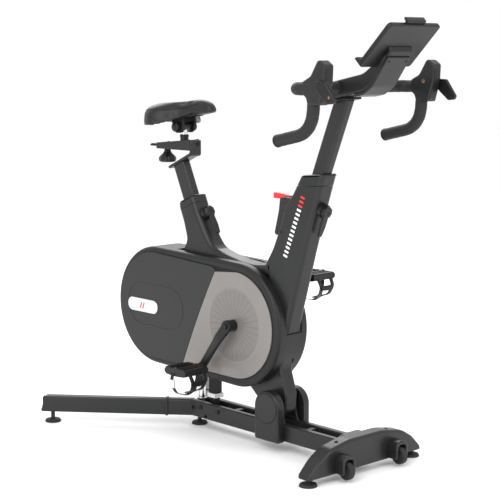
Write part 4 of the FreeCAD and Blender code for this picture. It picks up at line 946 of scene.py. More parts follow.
@dataclass
class MainFrame:
    """Covers of the tilting frame: front tube, seat tube with top beam, collars, neck and decals."""

    half: float = 31.0
    edge: float = 15.0
    seat_top: tuple = (-257.0, 694.0)
    seat_lean: float = -24.5
    seat_deep: float = 77.0
    stripes: int = 15
    stripes_white: int = 12
    stripe_foot: tuple = (169.0, 566.0)
    stripe_pitch: float = 12.0
    stripe_slope: float = 0.40

    def build(self) -> None:
        """Makes the frame's covers."""
        tube = [((120, 338), (177, 336)), ((122, 400), (196, 400)), ((120, 440), (208, 440)),
                ((112, 474), (218, 474)), ((99, 503), (226, 503)), ((90, 533), (236, 536)),
                ((120, 580), (249, 581)), ((150, 647), (270, 649)), ((168, 704), (289, 707)),
                ((198, 738), (300, 740)), ((214.6, 765.3), (309.8, 769.4))]
        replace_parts(member("front_tube_cover", tube, self.half, self.edge, "frame", CAST, relax=12),
                    "front_tube")
        collar = [((215.4, 766.8), (310.3, 770.8)), ((234, 796), (321.5, 803.5))]
        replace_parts(member("head_collar", collar, self.half, self.edge, "frame", CAST, 6), "tube_collars")
        beam = [((112, 496), (114, 548)), ((92, 500), (92, 533)), ((40, 500), (40, 527)),
                ((-23, 503), (-23, 532)), ((-90, 505), (-80, 543)), ((-170, 510), (-118, 554)),
                ((-240, 519), (-135, 564)), ((-272, 537), (-150, 580)), ((-258, 553), (-158, 592)),
                ((-251, 569), (-167, 606)), (self.seat_point(-62, -1), self.seat_point(-62, 1)),
                (self.seat_point(-25.8, -1), self.seat_point(-25.8, 1))]
        cover = member("seat_tube_cover", beam, self.half, self.edge, "frame", CAST, relax=16)
        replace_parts(cover, "seat_tube", "top_beam")
        cap = [(self.seat_point(-24.6, -1), self.seat_point(-24.6, 1)),
               (self.seat_point(-13, -1), self.seat_point(-13, 1)),
               (self.seat_point(0, -1, 8), self.seat_point(0, 1))]
        member("seat_collar", cap, self.half, self.edge, "frame", CAST, 6, 6)
        housing = corners([(116, 612), (170, 640), (200, 729), (142, 729), (137, 690)], [8, 8, 8, 8, 20])
        slab("lever_housing", housing, edge_profile(-20, 20, 5, 5), "frame", CAST)
        self.decals()
        self.neck()
        for name, side in SIDES:
            for number, (x, z) in enumerate(((113, 512), (158, 632))):
                pin_head(f"frame_plug_{name}_{number}", x, z, side, self.half - 0.6, 4.2, "frame", SEAM,
                         0.9)
        log.info("main frame covers")

    def seat_point(self, along: float, front: int, inset: float = 0.0) -> tuple:
        """A point on the seat tube's front or rear edge.

        Args:
            along: Distance up the tube's axis from its top.
            front: 1 for the front edge, -1 for the rear.
            inset: Distance in from the edge.

        Returns:
            X and Z.
        """
        up, ahead = leaning(self.seat_lean)
        out = front * (self.seat_deep / 2 - inset)
        spot = along * up + out * ahead
        return self.seat_top[0] + spot[0], self.seat_top[1] + spot[2]

    def decals(self) -> None:
        """Plain slanted stripes on the front tube's sides."""
        raised = edge_profile(self.half - 0.5, self.half + 0.35, 0.1, 0.15, 2)
        for name, side in SIDES:
            basis = facing(side)
            for number in range(self.stripes):
                rise = self.stripe_pitch * number
                x, low = self.stripe_foot[0] + rise * self.stripe_slope, self.stripe_foot[1] + rise
                bar = corners([(x, low), (x + 15, low - 5), (x + 17.4, low + 1), (x + 2.4, low + 6)], 1.2,
                              3)
                finish = RED if number >= self.stripes_white else WHITE
                slab(f"tube_stripe_{name}_{number}", bar, raised, "frame", finish, basis)

    def neck(self) -> None:
        """Cast neck with a rounded boss round the pivot, and a screw head on each side."""
        outline = corners([(20, 168), (57, 137), (100, 134), (102, 110), (135, 86), (172, 112), (174, 166),
                           (150, 240), (166, 288), (150, 312), (34, 312), (10, 210)],
                          [16, 22, 12, 30, 40, 34, 30, 40, 8, 8, 8, 30])
        neck = slab("neck_casting", outline, edge_profile(-23, 23, 5, 5), "frame", POWDER)
        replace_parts(neck, "frame_neck")
        for name, side in SIDES:
            pin_head(f"neck_screw_{name}", 148, 219, side, 22.6, 5, "frame", STEEL, 1.6)


@dataclass
class Base:
    """Rails, legs, stabiliser, pivot covers and wheels."""

    rail_inner: float = 19.0
    rail_wide: float = 20.0
    rail_low: float = 33.0
    rail_tall: float = 50.0
    rail_ends: tuple = (-226.0, 420.0)
    splay: float = 41.0
    root: float = 195.0
    collar: float = 118.0
    tip: float = 506.4
    pivot: tuple = (135.0, 126.0)
    wheel_side: float = 106.0
    wheel_x: float = 489.0
    wheel_z: float = 31.0

    def leg_axes(self, side: int) -> tuple:
        """Basis of a rear leg.

        Args:
            side: 1 or -1.

        Returns:
            The directions across, up and outwards along it.
        """
        turn = math.radians(self.splay)
        along = np.array([-math.cos(turn), side * math.sin(turn), 0])
        return np.cross([0, 0, 1], along), np.array([0, 0, 1.0]), along

    def build(self) -> None:
        """Makes the base's visible skins."""
        middle = self.rail_low + self.rail_tall / 2
        ends = edge_profile(*self.rail_ends, 0.5, 0.5, 2)
        for name, side in SIDES:
            place = [side * (self.rail_inner + self.rail_wide / 2), middle]
            section = box_section(self.rail_wide, self.rail_tall, 5) + place
            rail = slab(f"rail_{name}", section, ends, "base", POWDER, Plane.FRONT)
            if side > 0:
                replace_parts(rail, "base_frame")
        for number, x in enumerate((-60, 240, 380)):
            slab(f"cross_plate_{number}", box_section(39, 38, 2) + [0, middle],
                 edge_profile(x, x + 16, 1, 1, 2), "base", POWDER, Plane.FRONT)
        slab("foot_plate", box_section(50, 39, 3) + [-226, 0], edge_profile(28, 37, 1, 1, 2), "base",
             POWDER, Plane.TOP)
        for name, side in SIDES:
            self.leg(name, side, middle)
            self.ear_and_cover(name, side)
        self.stabiliser()
        for name, side in SIDES:
            for number, (x, z, radius) in enumerate(((-178, 66, 7.5), (-206, 61, 6.0), (-100, 66, 7.0))):
                pin_head(f"rail_bolt_{name}_{number}", x, z, side, 39, radius, "base",
                         STEEL if number else SEAM, 2.2)
        log.info("base")

    def leg(self, name: str, side: int, middle: float) -> None:
        """Socket stub, collar ring and the leg with its slanted end.

        Args:
            name: Side name.
            side: 1 or -1.
            middle: Height of the tube's axis.
        """
        axes = self.leg_axes(side)
        origin = (-self.root, 0, middle)
        section = box_section(30, self.rail_tall, 6)
        slab(f"socket_stub_{name}", section, edge_profile(38, self.collar - 1.5, 1, 2, 3), "base", POWDER,
             axes, origin)
        slab(f"leg_ring_{name}", box_section(35, self.rail_tall + 5, 7),
             edge_profile(self.collar - 2, self.collar + 7, 2, 2, 4), "base", POWDER, axes, origin)
        outline = corners([(self.collar + 6, -25), (self.tip + 8, -25), (self.tip - 6, 25),
                           (self.collar + 6, 25)], [1, 5, 7, 1])
        leg = slab(f"leg_{name}", outline, edge_profile(-15, 15, 5, 5, 5), "base", POWDER,
                   (axes[2], axes[1], np.cross(axes[2], axes[1])), origin)
        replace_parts(leg, f"rear_leg_{name}")
        plug = edge_profile(self.tip - 4, self.tip + 1.0, 1, 1.5, 3)
        slab(f"leg_plug_{name}", box_section(24, 40, 4), plug, "base", SEAM, axes,
             (origin[0], 0, middle + 1))
        spot = np.array(origin) + axes[2] * 50 + axes[0] * side * 15.5
        lathe(f"socket_bolt_{name}", [(0.3, -1), (7, -1), (7, 2), (4, 3), (3.6, 1), (0.3, 1)], tuple(spot),
              tuple(axes[0] * side), "base", STEEL, 24)

    def ear_and_cover(self, name: str, side: int) -> None:
        """Pivot ear between rail and neck, and the rounded cover with its round cap.

        Args:
            name: Side name.
            side: 1 or -1.
        """
        basis = facing(side)
        ear = np.concatenate([circle(135, 124, 26, 40)[:21], np.array([[95, 78], [175, 78]], float)])
        slab(f"pivot_ear_{name}", ear, edge_profile(24, 31.5, 0.5, 1, 2), "base", POWDER, basis)
        shape = corners([(85.5, 30), (184.5, 30), (184.5, 175.5), (85.5, 175.5)], [8, 8, 49.4, 49.4], 20)
        cover = slab(f"pivot_cover_{name}", shape, edge_profile(39.2, 65, 0.5, 7.8, 8), "base", CAST, basis)
        lathe(f"pivot_cap_{name}", [(0.5, 62), (43, 62), (43, 64.2), (41.6, 66.0), (40, 66.3), (0.5, 66.3)],
              (self.pivot[0], 0, self.pivot[1]), (0, side, 0), "base", CAST, 96)
        lathe(f"pivot_cap_seam_{name}", [(43, 63), (44.4, 63), (44.4, 65.25), (43, 65.25)],
              (self.pivot[0], 0, self.pivot[1]), (0, side, 0), "base", SEAM, 96)
        if side > 0:
            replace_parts(cover, "pivot_covers")

    def stabiliser(self) -> None:
        """Arched front beam, its hump over the rails, bolts and wheels."""
        arch = corners([(-226, 19), (226, 19), (221, 34), (188, 66), (146, 91), (70, 105), (-70, 105),
                        (-146, 91), (-188, 66), (-221, 34)], [5, 5, 12, 60, 90, 160, 160, 90, 60, 12], 8)
        beam = slab("stabiliser_beam", arch, edge_profile(420, 468, 9, 9, 7), "base", CAST, Plane.FRONT)
        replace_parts(beam, "front_stabiliser")
        hump = corners([(-58, 24), (58, 24), (54, 90), (30, 101), (-30, 101), (-54, 90)],
                       [4, 4, 14, 20, 20, 14])
        slab("rail_hump", hump, edge_profile(396, 426, 8, 1, 6), "base", CAST, Plane.FRONT)
        for name, side in SIDES:
            lathe(f"beam_bolt_{name}", [(0.3, 0), (5, 0), (5, 3), (3.4, 3.8), (3, 2), (0.3, 2)],
                  (444, side * 100, 97.5), (0, side * 0.3, 1), "base", STEEL, 24)
            self.wheel(name, side)

    def wheel(self, name: str, side: int) -> None:
        """Wide transport wheel with a rounded tread, under an arched hood.

        Args:
            name: Side name.
            side: 1 or -1.
        """
        y = side * self.wheel_side
        tread = lathe(f"wheel_tread_{name}", [(4.2, -9), (9, -9), (10, -7.5), (17, -7.5), (18.5, -9),
                                              (22, -8.5), (24.4, -6), (25, 0), (24.4, 6), (22, 8.5),
                                              (18.5, 9), (17, 7.5), (10, 7.5), (9, 9), (4.2, 9)],
                      (self.wheel_x, y, self.wheel_z), SIDEWAYS, f"wheel_{name}", RUBBER, 72)
        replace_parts(tread, f"transport_wheel_{name}")
        hood = corners([(y - 24, 24), (y - 24, 74), (y + 24, 74), (y + 24, 24), (y + 14.5, 24),
                        (y + 14.5, 62), (y - 14.5, 62), (y - 14.5, 24)], [2, 20, 20, 2, 2, 8, 8, 2], 8)
        slab(f"wheel_hood_{name}", hood, edge_profile(462, 500, 1, 4, 5), "base", CAST, Plane.FRONT)


@dataclass
class Seat:
    """Seat post, slide channel, slider, knob, and saddle with its seams; the seat clamp lever is made by Clamp."""

    cap_travel: float = 0.007
    stem_x: float = -290.0
    bolt_z: float = 908.0
    knob_x: float = -370.0
    post_lean: float = -24.5
    post_top: tuple = (-257.0, 0, 694.0)
    stations: tuple = ((-416, 38, 958, 922, 0), (-410, 53, 963, 913, 4), (-401, 65, 966.5, 909, 12),
                       (-389, 76, 969, 907, 24), (-374, 88, 971, 906, 31), (-350, 95, 973, 906, 35),
                       (-333, 93, 974, 907, 35), (-316, 83, 975, 911, 32), (-298, 67, 976.5, 919, 26),
                       (-280, 50, 978, 930, 16), (-262, 38, 979, 940, 10),
                       (-230, 26, 984, 950, 2), (-210, 22.5, 988, 952, 0), (-196, 21, 989.5, 952, 0),
                       (-180, 19.5, 988, 953, 0), (-165, 17.5, 981, 953, 0), (-155, 14, 972, 954, 0),
                       (-149, 8, 963, 957, 0))

    def saddle_mesh(self) -> Array:
        """Rings of the saddle: a squarish crown over a hollow underside at each station.

        Over the crown, y is the half width times the sine of the angle and the height is the cosine,
        each to the power 0.56. Underneath, the hollow falls by the fifth power of the share of the width.

        Returns:
            Rings by points by 3.
        """
        keys = np.array(self.stations, float)
        travel = np.linspace(0, len(keys) - 1, 84)
        line = np.stack([np.interp(travel, np.arange(len(keys)), keys[:, column]) for column in range(5)],
                        1)
        for _ in range(3):
            line[1:-1] = line[1:-1] * 0.5 + (line[:-2] + line[2:]) * 0.25
        x, half, top, bottom, hollow = (line[:, column:column + 1] for column in range(5))
        angle = np.linspace(-math.pi / 2, math.pi / 2, 37)[None]
        y = half * np.sign(np.sin(angle)) * np.abs(np.sin(angle)) ** 0.56
        z = bottom + (top - bottom) * np.abs(np.cos(angle)) ** 0.56
        z = z - 3.0 * np.exp(-(y / 18) ** 2) * np.clip((half - 40) / 40, 0, 1)
        share = np.linspace(1, -1, 31)[None]
        under = bottom + hollow * (1 - np.abs(share) ** 5)
        over = np.stack([np.broadcast_to(x, y.shape), y, z], -1)
        below = np.stack([np.broadcast_to(x, under.shape), half * 0.95 * share, under], -1)
        return np.concatenate([over, below], 1)

    def saddle(self) -> None:
        """Padded saddle: remeshed, inflated as cloth, then smoothed, with sewn seams laid on it."""
        rings = self.saddle_mesh()
        rows, columns = rings.shape[:2]
        faces = grid_faces(rows, columns)
        faces.append(list(range(columns))[::-1])
        faces.append([(rows - 1) * columns + index for index in range(columns)])
        pad = piece("saddle_pad", rings.reshape(-1, 3), faces, "saddle_top", LEATHER, 180)
        pad.modifiers.clear()
        remesh = pad.modifiers.new("remesh", "REMESH")
        remesh.mode = "VOXEL"
        remesh.voxel_size = 0.0045
        remesh.use_smooth_shade = True
        self.apply(pad)
        self.inflate(pad)
        smooth = pad.modifiers.new("relax", "SMOOTH")
        smooth.factor = 0.5
        smooth.iterations = 2
        self.apply(pad)
        fine = pad.modifiers.new("fine", "SUBSURF")
        fine.levels = fine.render_levels = 1
        pad.data.polygons.foreach_set("use_smooth", [True] * len(pad.data.polygons))
        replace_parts(pad, "saddle")
        self.seams(pad)

    @staticmethod
    def apply(thing: bpy.types.Object) -> None:
        """Bakes an object's modifiers into its mesh.

        Args:
            thing: The object.
        """
        graph = bpy.context.evaluated_depsgraph_get()
        mesh = bpy.data.meshes.new_from_object(thing.evaluated_get(graph))
        thing.modifiers.clear()
        thing.data = mesh

    def inflate(self, pad: bpy.types.Object) -> None:
        """Cloth pressure without gravity, with each point's travel capped.

        Args:
            pad: The remeshed cushion.
        """
        count = len(pad.data.vertices)
        before = np.empty(count * 3)
        pad.data.vertices.foreach_get("co", before)
        cloth = pad.modifiers.new("cloth", "CLOTH")
        cloth.settings.quality = 6
        cloth.settings.use_pressure = True
        cloth.settings.uniform_pressure_force = 4.0
        cloth.settings.tension_stiffness = 25
        cloth.settings.compression_stiffness = 25
        cloth.settings.bending_stiffness = 2.0
        cloth.settings.effector_weights.gravity = 0.0
        cloth.point_cache.frame_start = 1
        cloth.point_cache.frame_end = 20
        scene = bpy.context.scene
        for step in range(1, 21):
            scene.frame_set(step)
        self.apply(pad)
        scene.frame_set(1)
        after = np.empty(count * 3)
        pad.data.vertices.foreach_get("co", after)
        move = (after - before).reshape(-1, 3)
        length = np.linalg.norm(move, axis=1, keepdims=True)
        move *= np.minimum(1, self.cap_travel / np.maximum(length, 1e-9))
        pad.data.vertices.foreach_set("co", (before + move.ravel()))
        pad.data.update()

    def seams(self, pad: bpy.types.Object) -> None:
        """Sewn seams drawn on the finished cushion: one down each rear flank and one round the crown.

        Args:
            pad: The finished cushion.
        """
        tree = BVHTree.FromObject(pad, bpy.context.evaluated_depsgraph_get())
        rings = self.saddle_mesh()
        for name, side in SIDES:
            flank = np.linspace([6, 8], [34, 1], 40)
            crown = np.linspace([6, 8], [58, 7], 70)
            for label, route in (("flank", flank), ("crown", crown)):
                line = []
                for row, column in route:
                    low, share = int(row), row - int(row)
                    across = column if side < 0 else 36 - column
                    point = int(round(across))
                    spot = rings[low, point] * (1 - share) + rings[low + 1, point] * share
                    near, normal, _, _ = tree.find_nearest(Vector((spot + [CRANK_X, 0, 0]) * MM))
                    line.append(np.array(near + normal * 0.0002) / MM - [CRANK_X, 0, 0])
                line = np.array(line)
                for _ in range(8):
                    line[1:-1] = line[1:-1] * 0.5 + (line[:-2] + line[2:]) * 0.25
                sweep(f"saddle_seam_{label}_{name}", line, circle(0, 0, 0.9, 8), "saddle_top", SEAM)

    def build(self) -> None:
        """Makes the seat group."""
        self.saddle()
        along, ahead = leaning(self.post_lean)
        top = np.array(self.post_top)
        axes = (ahead, np.cross(along, ahead), along)
        post = slab("seat_post_tube", box_section(50, 30, 7), edge_profile(-200, 112, 1, 1, 2),
                    "seat_column", POWDER, axes, tuple(top))
        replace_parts(post, "seat_post")
        plate = corners([(-41, 112), (64, 112), (64, 120), (-41, 120)], 2)
        slab("seat_post_plate", plate, edge_profile(-20, 20, 2, 2, 3), "seat_column", POWDER,
             (ahead, along, np.cross(ahead, along)), tuple(top))
        strap = corners([(-252, 825), (-243, 819), (-236, 826), (-236, 869), (-244, 869), (-244, 834)],
                        [1, 6, 6, 2, 2, 4])
        slab("channel_strap", strap, edge_profile(-20, 20, 1.5, 1.5, 3), "seat_column", POWDER)
        self.channel()
        bar = corners([(-441, 844.5), (-283, 844.5), (-283, 852.5), (-432, 852.5)], [2, 1, 1, 3])
        slider = slab("slider_bar", bar, edge_profile(-13.5, 13.5, 1.5, 1.5, 3), "saddle_slider", STEEL)
        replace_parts(slider, "saddle_stem")
        lathe("saddle_stem_foot", [(0.5, 850), (12.5, 850), (12.5, 876), (13.5, 877), (13.5, 883),
                                   (11.5, 885), (0.5, 885)], (self.stem_x, 0, 0), (0, 0, 1),
              "saddle_slider", BLACK, 48)
        lathe("saddle_pillar", [(0.5, 884), (10, 884), (10, 900), (0.5, 900)], (self.stem_x, 0, 0),
              (0, 0, 1), "saddle_slider", CHROME, 48)
        lathe("saddle_cross_barrel", [(0.5, -18.8), (12, -18.8), (13, -17.5), (13, 17.5), (12, 18.8),
                                      (0.5, 18.8)],
              (self.stem_x, 0, self.bolt_z), SIDEWAYS, "saddle_slider", BLACK, 40)
        lathe("saddle_cross_bolt", [(0.5, -36), (4.8, -36), (4.8, 36), (0.5, 36)],
              (self.stem_x, 0, self.bolt_z), SIDEWAYS, "saddle_slider", STEEL, 24)
        self.rails()
        knob = lathe("slide_knob_grip", [(0.5, 797), (20, 797), (25, 799), (27, 805), (26.5, 811),
                                         (22, 817), (14, 824), (10.5, 830), (9.5, 836.5), (0.5, 836.5)],
                     (self.knob_x, 0, 0), (0, 0, 1), "seat_knob", BLACK, 96, 10, 1.6)
        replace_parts(knob, "slide_knob")
        lathe("channel_front_bolt", [(0.3, -1), (7, -1), (7, 3), (6, 4), (0.3, 4)], (-236, 9, 857),
              (1, 0, 0), "seat_column", STEEL, 24)
        lathe("channel_top_bolt", [(0.3, -1), (3.2, -1), (3.2, 1.6), (0.3, 2.2)], (-344, -17.5, 861),
              (0, 0, 1), "seat_column", STEEL, 20)
        log.info("seat")

    def channel(self) -> None:
        """Open channel whose walls grow taller forwards: a U section, 4 mm thick, at four stations."""
        rings = []
        for x, crest in ((-400, 856), (-392, 857), (-274, 868), (-244.5, 872)):
            wall = [(-20, 838), (20, 838), (20, crest), (15.5, crest), (15.5, 842.5), (-15.5, 842.5),
                    (-15.5, crest), (-20, crest)]
            rings.append(np.array([(x, y, z) for y, z in wall], float))
        columns = len(rings[0])
        faces = grid_faces(len(rings), columns)
        faces.append(list(range(columns))[::-1])
        faces.append([(len(rings) - 1) * columns + index for index in range(columns)])
        body = piece("channel_body", np.concatenate(rings), faces, "seat_column", POWDER)
        bevel = body.modifiers.new("round_edges", "BEVEL")
        bevel.width = 1.2 * MM
        bevel.segments = 3
        bevel.limit_method = "ANGLE"
        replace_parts(body, "seat_channel")

    def rails(self) -> None:
        """Two wires under the saddle, held by cheeks either side of the stem, and a fluted nut each side."""
        for name, side in SIDES:
            y = side * 23.0
            path = smooth_path([(-380, y + side * 8, 945), (-345, y, 943.5), (-235, y, 943.5),
                                (-196, side * 10, 956)],
                               [60, 50], 3)
            wire = sweep(f"saddle_wire_{name}", path, circle(0, 0, 3.5, 14), "saddle_top", STEEL)
            cheek = corners([(-309, 898), (-297, 890), (-281, 890), (-269, 899), (-264, 922), (-268, 949),
                             (-312, 949), (-316, 922)], [10, 10, 10, 10, 16, 4, 4, 16])
            slab(f"saddle_cheek_{name}", cheek, edge_profile(19.6, 27.5, 1.5, 1.5, 3), "saddle_top", STEEL,
                 facing(side))
            lathe(f"saddle_nut_{name}", [(0.5, 27.5), (12.5, 27.5), (14.5, 29.5), (14.5, 38), (12, 41),
                                         (6, 42), (0.5, 42)],
                  (self.stem_x, 0, self.bolt_z), (0, side, 0), "saddle_top", BLACK, 72, 12, 1.2)
            if side > 0:
                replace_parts(wire, "saddle_rails")


@dataclass
class Clamp:
    """A tube clamp: boss on the tube, fluted hub and a flat lever."""

    name: str
    body: str
    node: str
    base: tuple
    lean: float
    lever_lean: float
    lever_length: float = 74.0
    boss: float = 20.0

    def build(self) -> None:
        """Makes the boss, hub and lever."""
        out, _ = leaning(self.lean)
        lathe(f"{self.name}_boss", [(0.5, -6), (self.boss, -6), (self.boss, 12), (self.boss - 2, 14),
                                    (0.5, 14)],
              self.base, tuple(out), "frame", CAST, 48)
        hub = lathe(f"{self.name}_hub", [(0.5, 14.6), (17, 14.6), (18, 16), (18, 25), (15, 28), (6, 28.5),
                                         (5, 27), (0.5, 27)],
                    self.base, tuple(out), self.body, BLACK, 72, 9, 1.0)
        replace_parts(hub, self.node)
        along, _ = leaning(self.lever_lean)
        start = np.array(self.base) + out * 22
        outline = corners([(4, -9), (self.lever_length * 0.6, -10), (self.lever_length, -6),
                           (self.lever_length, 6), (self.lever_length * 0.6, 10), (4, 9)],
                          [2, 20, 5, 5, 20, 2])
        across = np.array(SIDEWAYS, float)
        slab(f"{self.name}_lever", outline, edge_profile(-4, 4, 2, 2, 4), self.body, BLACK,
             (along, across, np.cross(along, across)), tuple(start))


@dataclass
class Cockpit:
    """Head post, taped bar, hoods, brake levers, console arm, tray and clip."""

    bar_x: float = 398.0
    bar_z: float = 1038.0
    bar_half: float = 210.0
    tape_radius: float = 16.2
    wrap: float = 24.0
    post_lean: float = 22.0
    post_top: tuple = (288, 0, 803)
    tray: tuple = (148.0, 196.0)
    tray_lean: float = 45.0
    tray_foot: tuple = (508, 0, 1100)
    hood_screws: tuple = ((493, 1093), (443, 1047), (461, 1012))

    def build(self) -> None:
        """Makes the handlebar group."""
        self.post()
        self.bar()
        for name, side in SIDES:
            self.hood(name, side)
        self.console()
        log.info("cockpit")

    def post(self) -> None:
        """Rounded rectangular head post."""
        along, ahead = leaning(self.post_lean)
        post = slab("head_post_tube", box_section(50, 30, 8), edge_profile(-190, 226, 1, 1, 2),
                    "head_column", POWDER, (ahead, np.cross(along, ahead), along), self.post_top)
        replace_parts(post, "head_post")

    def bar(self) -> None:
        """Drop bar whose tape winds round it: the radius rises across each turn of the wrap."""
        x, y, z = self.bar_x, self.bar_half, self.bar_z
        half = [(x - 14, y + 10, z), (x + 64, y, z), (x + 56, y, z - 109), (330, y, z - 136)]
        mirror = [(px, -py, pz) for px, py, pz in reversed(half)]
        path = smooth_path(mirror + half, [75, 24, 44, 44, 24, 75], 2.0)
        tangent = np.gradient(path, axis=0)
        tangent /= np.linalg.norm(tangent, axis=1, keepdims=True)
        side = np.empty_like(tangent)
        side[0] = np.cross(tangent[0], [0, 1, 0])
        for index in range(1, len(path)):
            side[index] = side[index - 1] - tangent[index] * (side[index - 1] @ tangent[index])
            side[index] /= np.linalg.norm(side[index])
        travel = np.concatenate([[0], np.cumsum(np.linalg.norm(np.diff(path, axis=0), axis=1))])
        angles = np.linspace(0, 2 * math.pi, 40, endpoint=False)
        turn = (travel[:, None] / self.wrap + angles[None] / (2 * math.pi)) % 1
        radius = self.tape_radius + 0.55 * turn ** 0.8 * (1 - np.exp(-(1 - turn) * 18))
        sections = np.stack([radius * np.cos(angles), radius * np.sin(angles)], -1)
        bar = sweep("taped_bar", path, sections, "head_column", TAPE, side=side, sharp=60)
        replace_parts(bar, "handlebar")
        for name, sign in SIDES:
            end = np.array([330, sign * y, z - 136])
            lathe(f"bar_plug_{name}", [(0.5, -2), (17.2, -2), (17.2, 2), (15, 4.4), (0.5, 5)], tuple(end),
                  (-124, 0, -27), "head_column", BLACK, 40)

    def hood(self, name: str, side: int) -> None:
        """Moulded hood with its front strip and screws, and the brake lever.

        Args:
            name: Side name.
            side: 1 or -1.
        """
        basis = facing(side)
        y = self.bar_half
        outline = corners([(434, 1057), (462, 1071), (489, 1114), (513, 1098), (511, 1053), (495, 998),
                           (452, 998), (446, 1016), (434, 1024)], [6, 20, 9, 8, 40, 6, 4, 14, 6])
        hood = slab(f"hood_{name}", outline, edge_profile(y - 17, y + 17.5, 4, 5, 6), "head_column", CAST,
                    basis)
        if side > 0:
            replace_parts(hood, "hoods")
        front = corners([(506, 1090), (514.2, 1088), (512.4, 1053), (498, 1004), (490, 1006), (504, 1053)],
                        [2, 3, 40, 3, 2, 40])
        slab(f"hood_front_{name}", front, edge_profile(y - 11.5, y + 11.5, 0.8, 0.8, 3), "head_column",
             BLACK, basis)
        inner = y - 16.6
        for number, (x, z) in enumerate(self.hood_screws):
            lathe(f"hood_screw_{name}_{number}", [(0.3, -1), (2.6, -1), (2.6, 0.5), (0.3, 0.6)],
                  (x, side * inner, z), (0, -side, 0), "head_column", SEAM, 20)
        lathe(f"hood_button_{name}", [(0.3, -1), (5.4, -1), (5.4, 0.6), (4.6, 1.0), (3.6, 0.7), (0.3, 0.6)],
              (478, side * inner, 1053), (0, -side, 0), "head_column", COPPER, 28)
        lever = corners([(493, 1060), (526, 1058), (559, 1014), (554, 1004), (534, 1002), (508, 1022),
                         (492, 1036)],
                        [4, 7, 5, 5, 5, 20, 6])
        blade = slab(f"brake_blade_{name}", lever, edge_profile(y + 19.5, y + 30.5, 2.6, 4.2, 5),
                     f"brake_{name}", BLACK, basis)
        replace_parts(blade, f"brake_lever_{name}")
        lathe(f"brake_bolt_{name}", [(0.3, 29), (3.8, 29), (3.8, 31.2), (0.3, 31.6)], (541, side * y, 1019),
              (0, side, 0), f"brake_{name}", COPPER, 24)

    def console(self) -> None:
        """Console arm with the paler plate under it, and the tray with its lip, mat and clip."""
        arm = corners([(345, 1003), (472, 1028), (500, 1046), (552, 1118), (560, 1132), (552, 1138),
                       (506, 1099), (473, 1076), (350, 1051)], [8, 40, 50, 4, 4, 4, 20, 60, 10])
        body = slab("console_arm_body", arm, edge_profile(-45, 45, 6, 6, 6), "head_column", CAST)
        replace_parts(body, "console_arm")
        plate = corners([(440, 1013.4), (474, 1019.6), (507, 1041), (561, 1116), (554, 1121), (500, 1047),
                         (472, 1028), (440, 1021)], [2, 40, 40, 2, 2, 40, 40, 2])
        cover = slab("console_arm_cover", plate, edge_profile(-44, 44, 2, 2, 3), "head_column", PANEL)
        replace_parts(cover, "console_arm_plate")
        block = corners([(536, 1118), (558, 1119), (568, 1132), (565, 1145), (556, 1148), (536, 1128)],
                        [2, 3, 6, 5, 4, 2])
        slab("tray_block", block, edge_profile(-45, 45, 5, 5, 5), "head_column", BLACK)
        flange = corners([(348, 995.5), (402, 1006.5), (400.6, 1013.5), (346.6, 1002.5)], 1.5)
        slab("post_flange", flange, edge_profile(-32, 32, 1.5, 1.5, 3), "head_column", STEEL)
        for name, side in SIDES:
            lathe(f"arm_screw_{name}", [(0.3, -1), (3.0, -1), (3.0, 0.9), (0.3, 1.2)],
                  (554, side * 33, 1106.3), (0.81, 0, -0.585), "head_column", SEAM, 20)
        along, behind = leaning(self.tray_lean)
        face = -behind
        axes = (along, np.array(SIDEWAYS, float), face)
        foot = self.tray_foot
        middle = [70, 0]
        tall, wide = self.tray
        outline = box_section(tall, wide, 9) + middle
        tray = slab("tray_shell", outline, edge_profile(-8.5, 4, 3.5, 2, 5), "head_column", SHELL, axes,
                    foot)
        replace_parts(tray, "tablet_tray")
        mat = box_section(tall - 18, wide - 18, 6) + middle
        slab("tray_mat", mat, edge_profile(3, 4.8, 0.5, 0.8, 3), "head_column", RUBBER, axes, foot)
        rib = box_section(tall - 9, wide - 9, 8) + middle
        ring = rib[:, :1] * axes[0] + rib[:, 1:] * axes[1] + face * 4 + np.array(foot, float)
        ring = np.concatenate([ring, ring[:2]])
        sweep("tray_rim", ring, circle(0, 0, 2.0, 10), "head_column", SHELL, side=tuple(face))
        lip = corners([(-2, -6), (8, -6), (8, 8), (6, 20), (0, 22), (-2, 20)], [2, 2, 3, 3, 3, 3])
        lip_axes = (along, face, np.cross(along, face))
        slab("tray_lip", lip, edge_profile(-97, 97, 3, 3, 4), "head_column", SHELL, lip_axes, foot)
        strip = corners([(116, -2), (152, -2), (154, 0), (154, 13), (150, 15), (147, 11), (147, 4.8),
                         (116, 4.8)],
                        [1, 2, 2, 3, 2, 1, 3, 1])
        clip = slab("tray_spring_clip", strip, edge_profile(-36, 36, 1.5, 1.5, 3), "clip", BLACK, lip_axes,
                    foot)
        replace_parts(clip, "tray_clip")


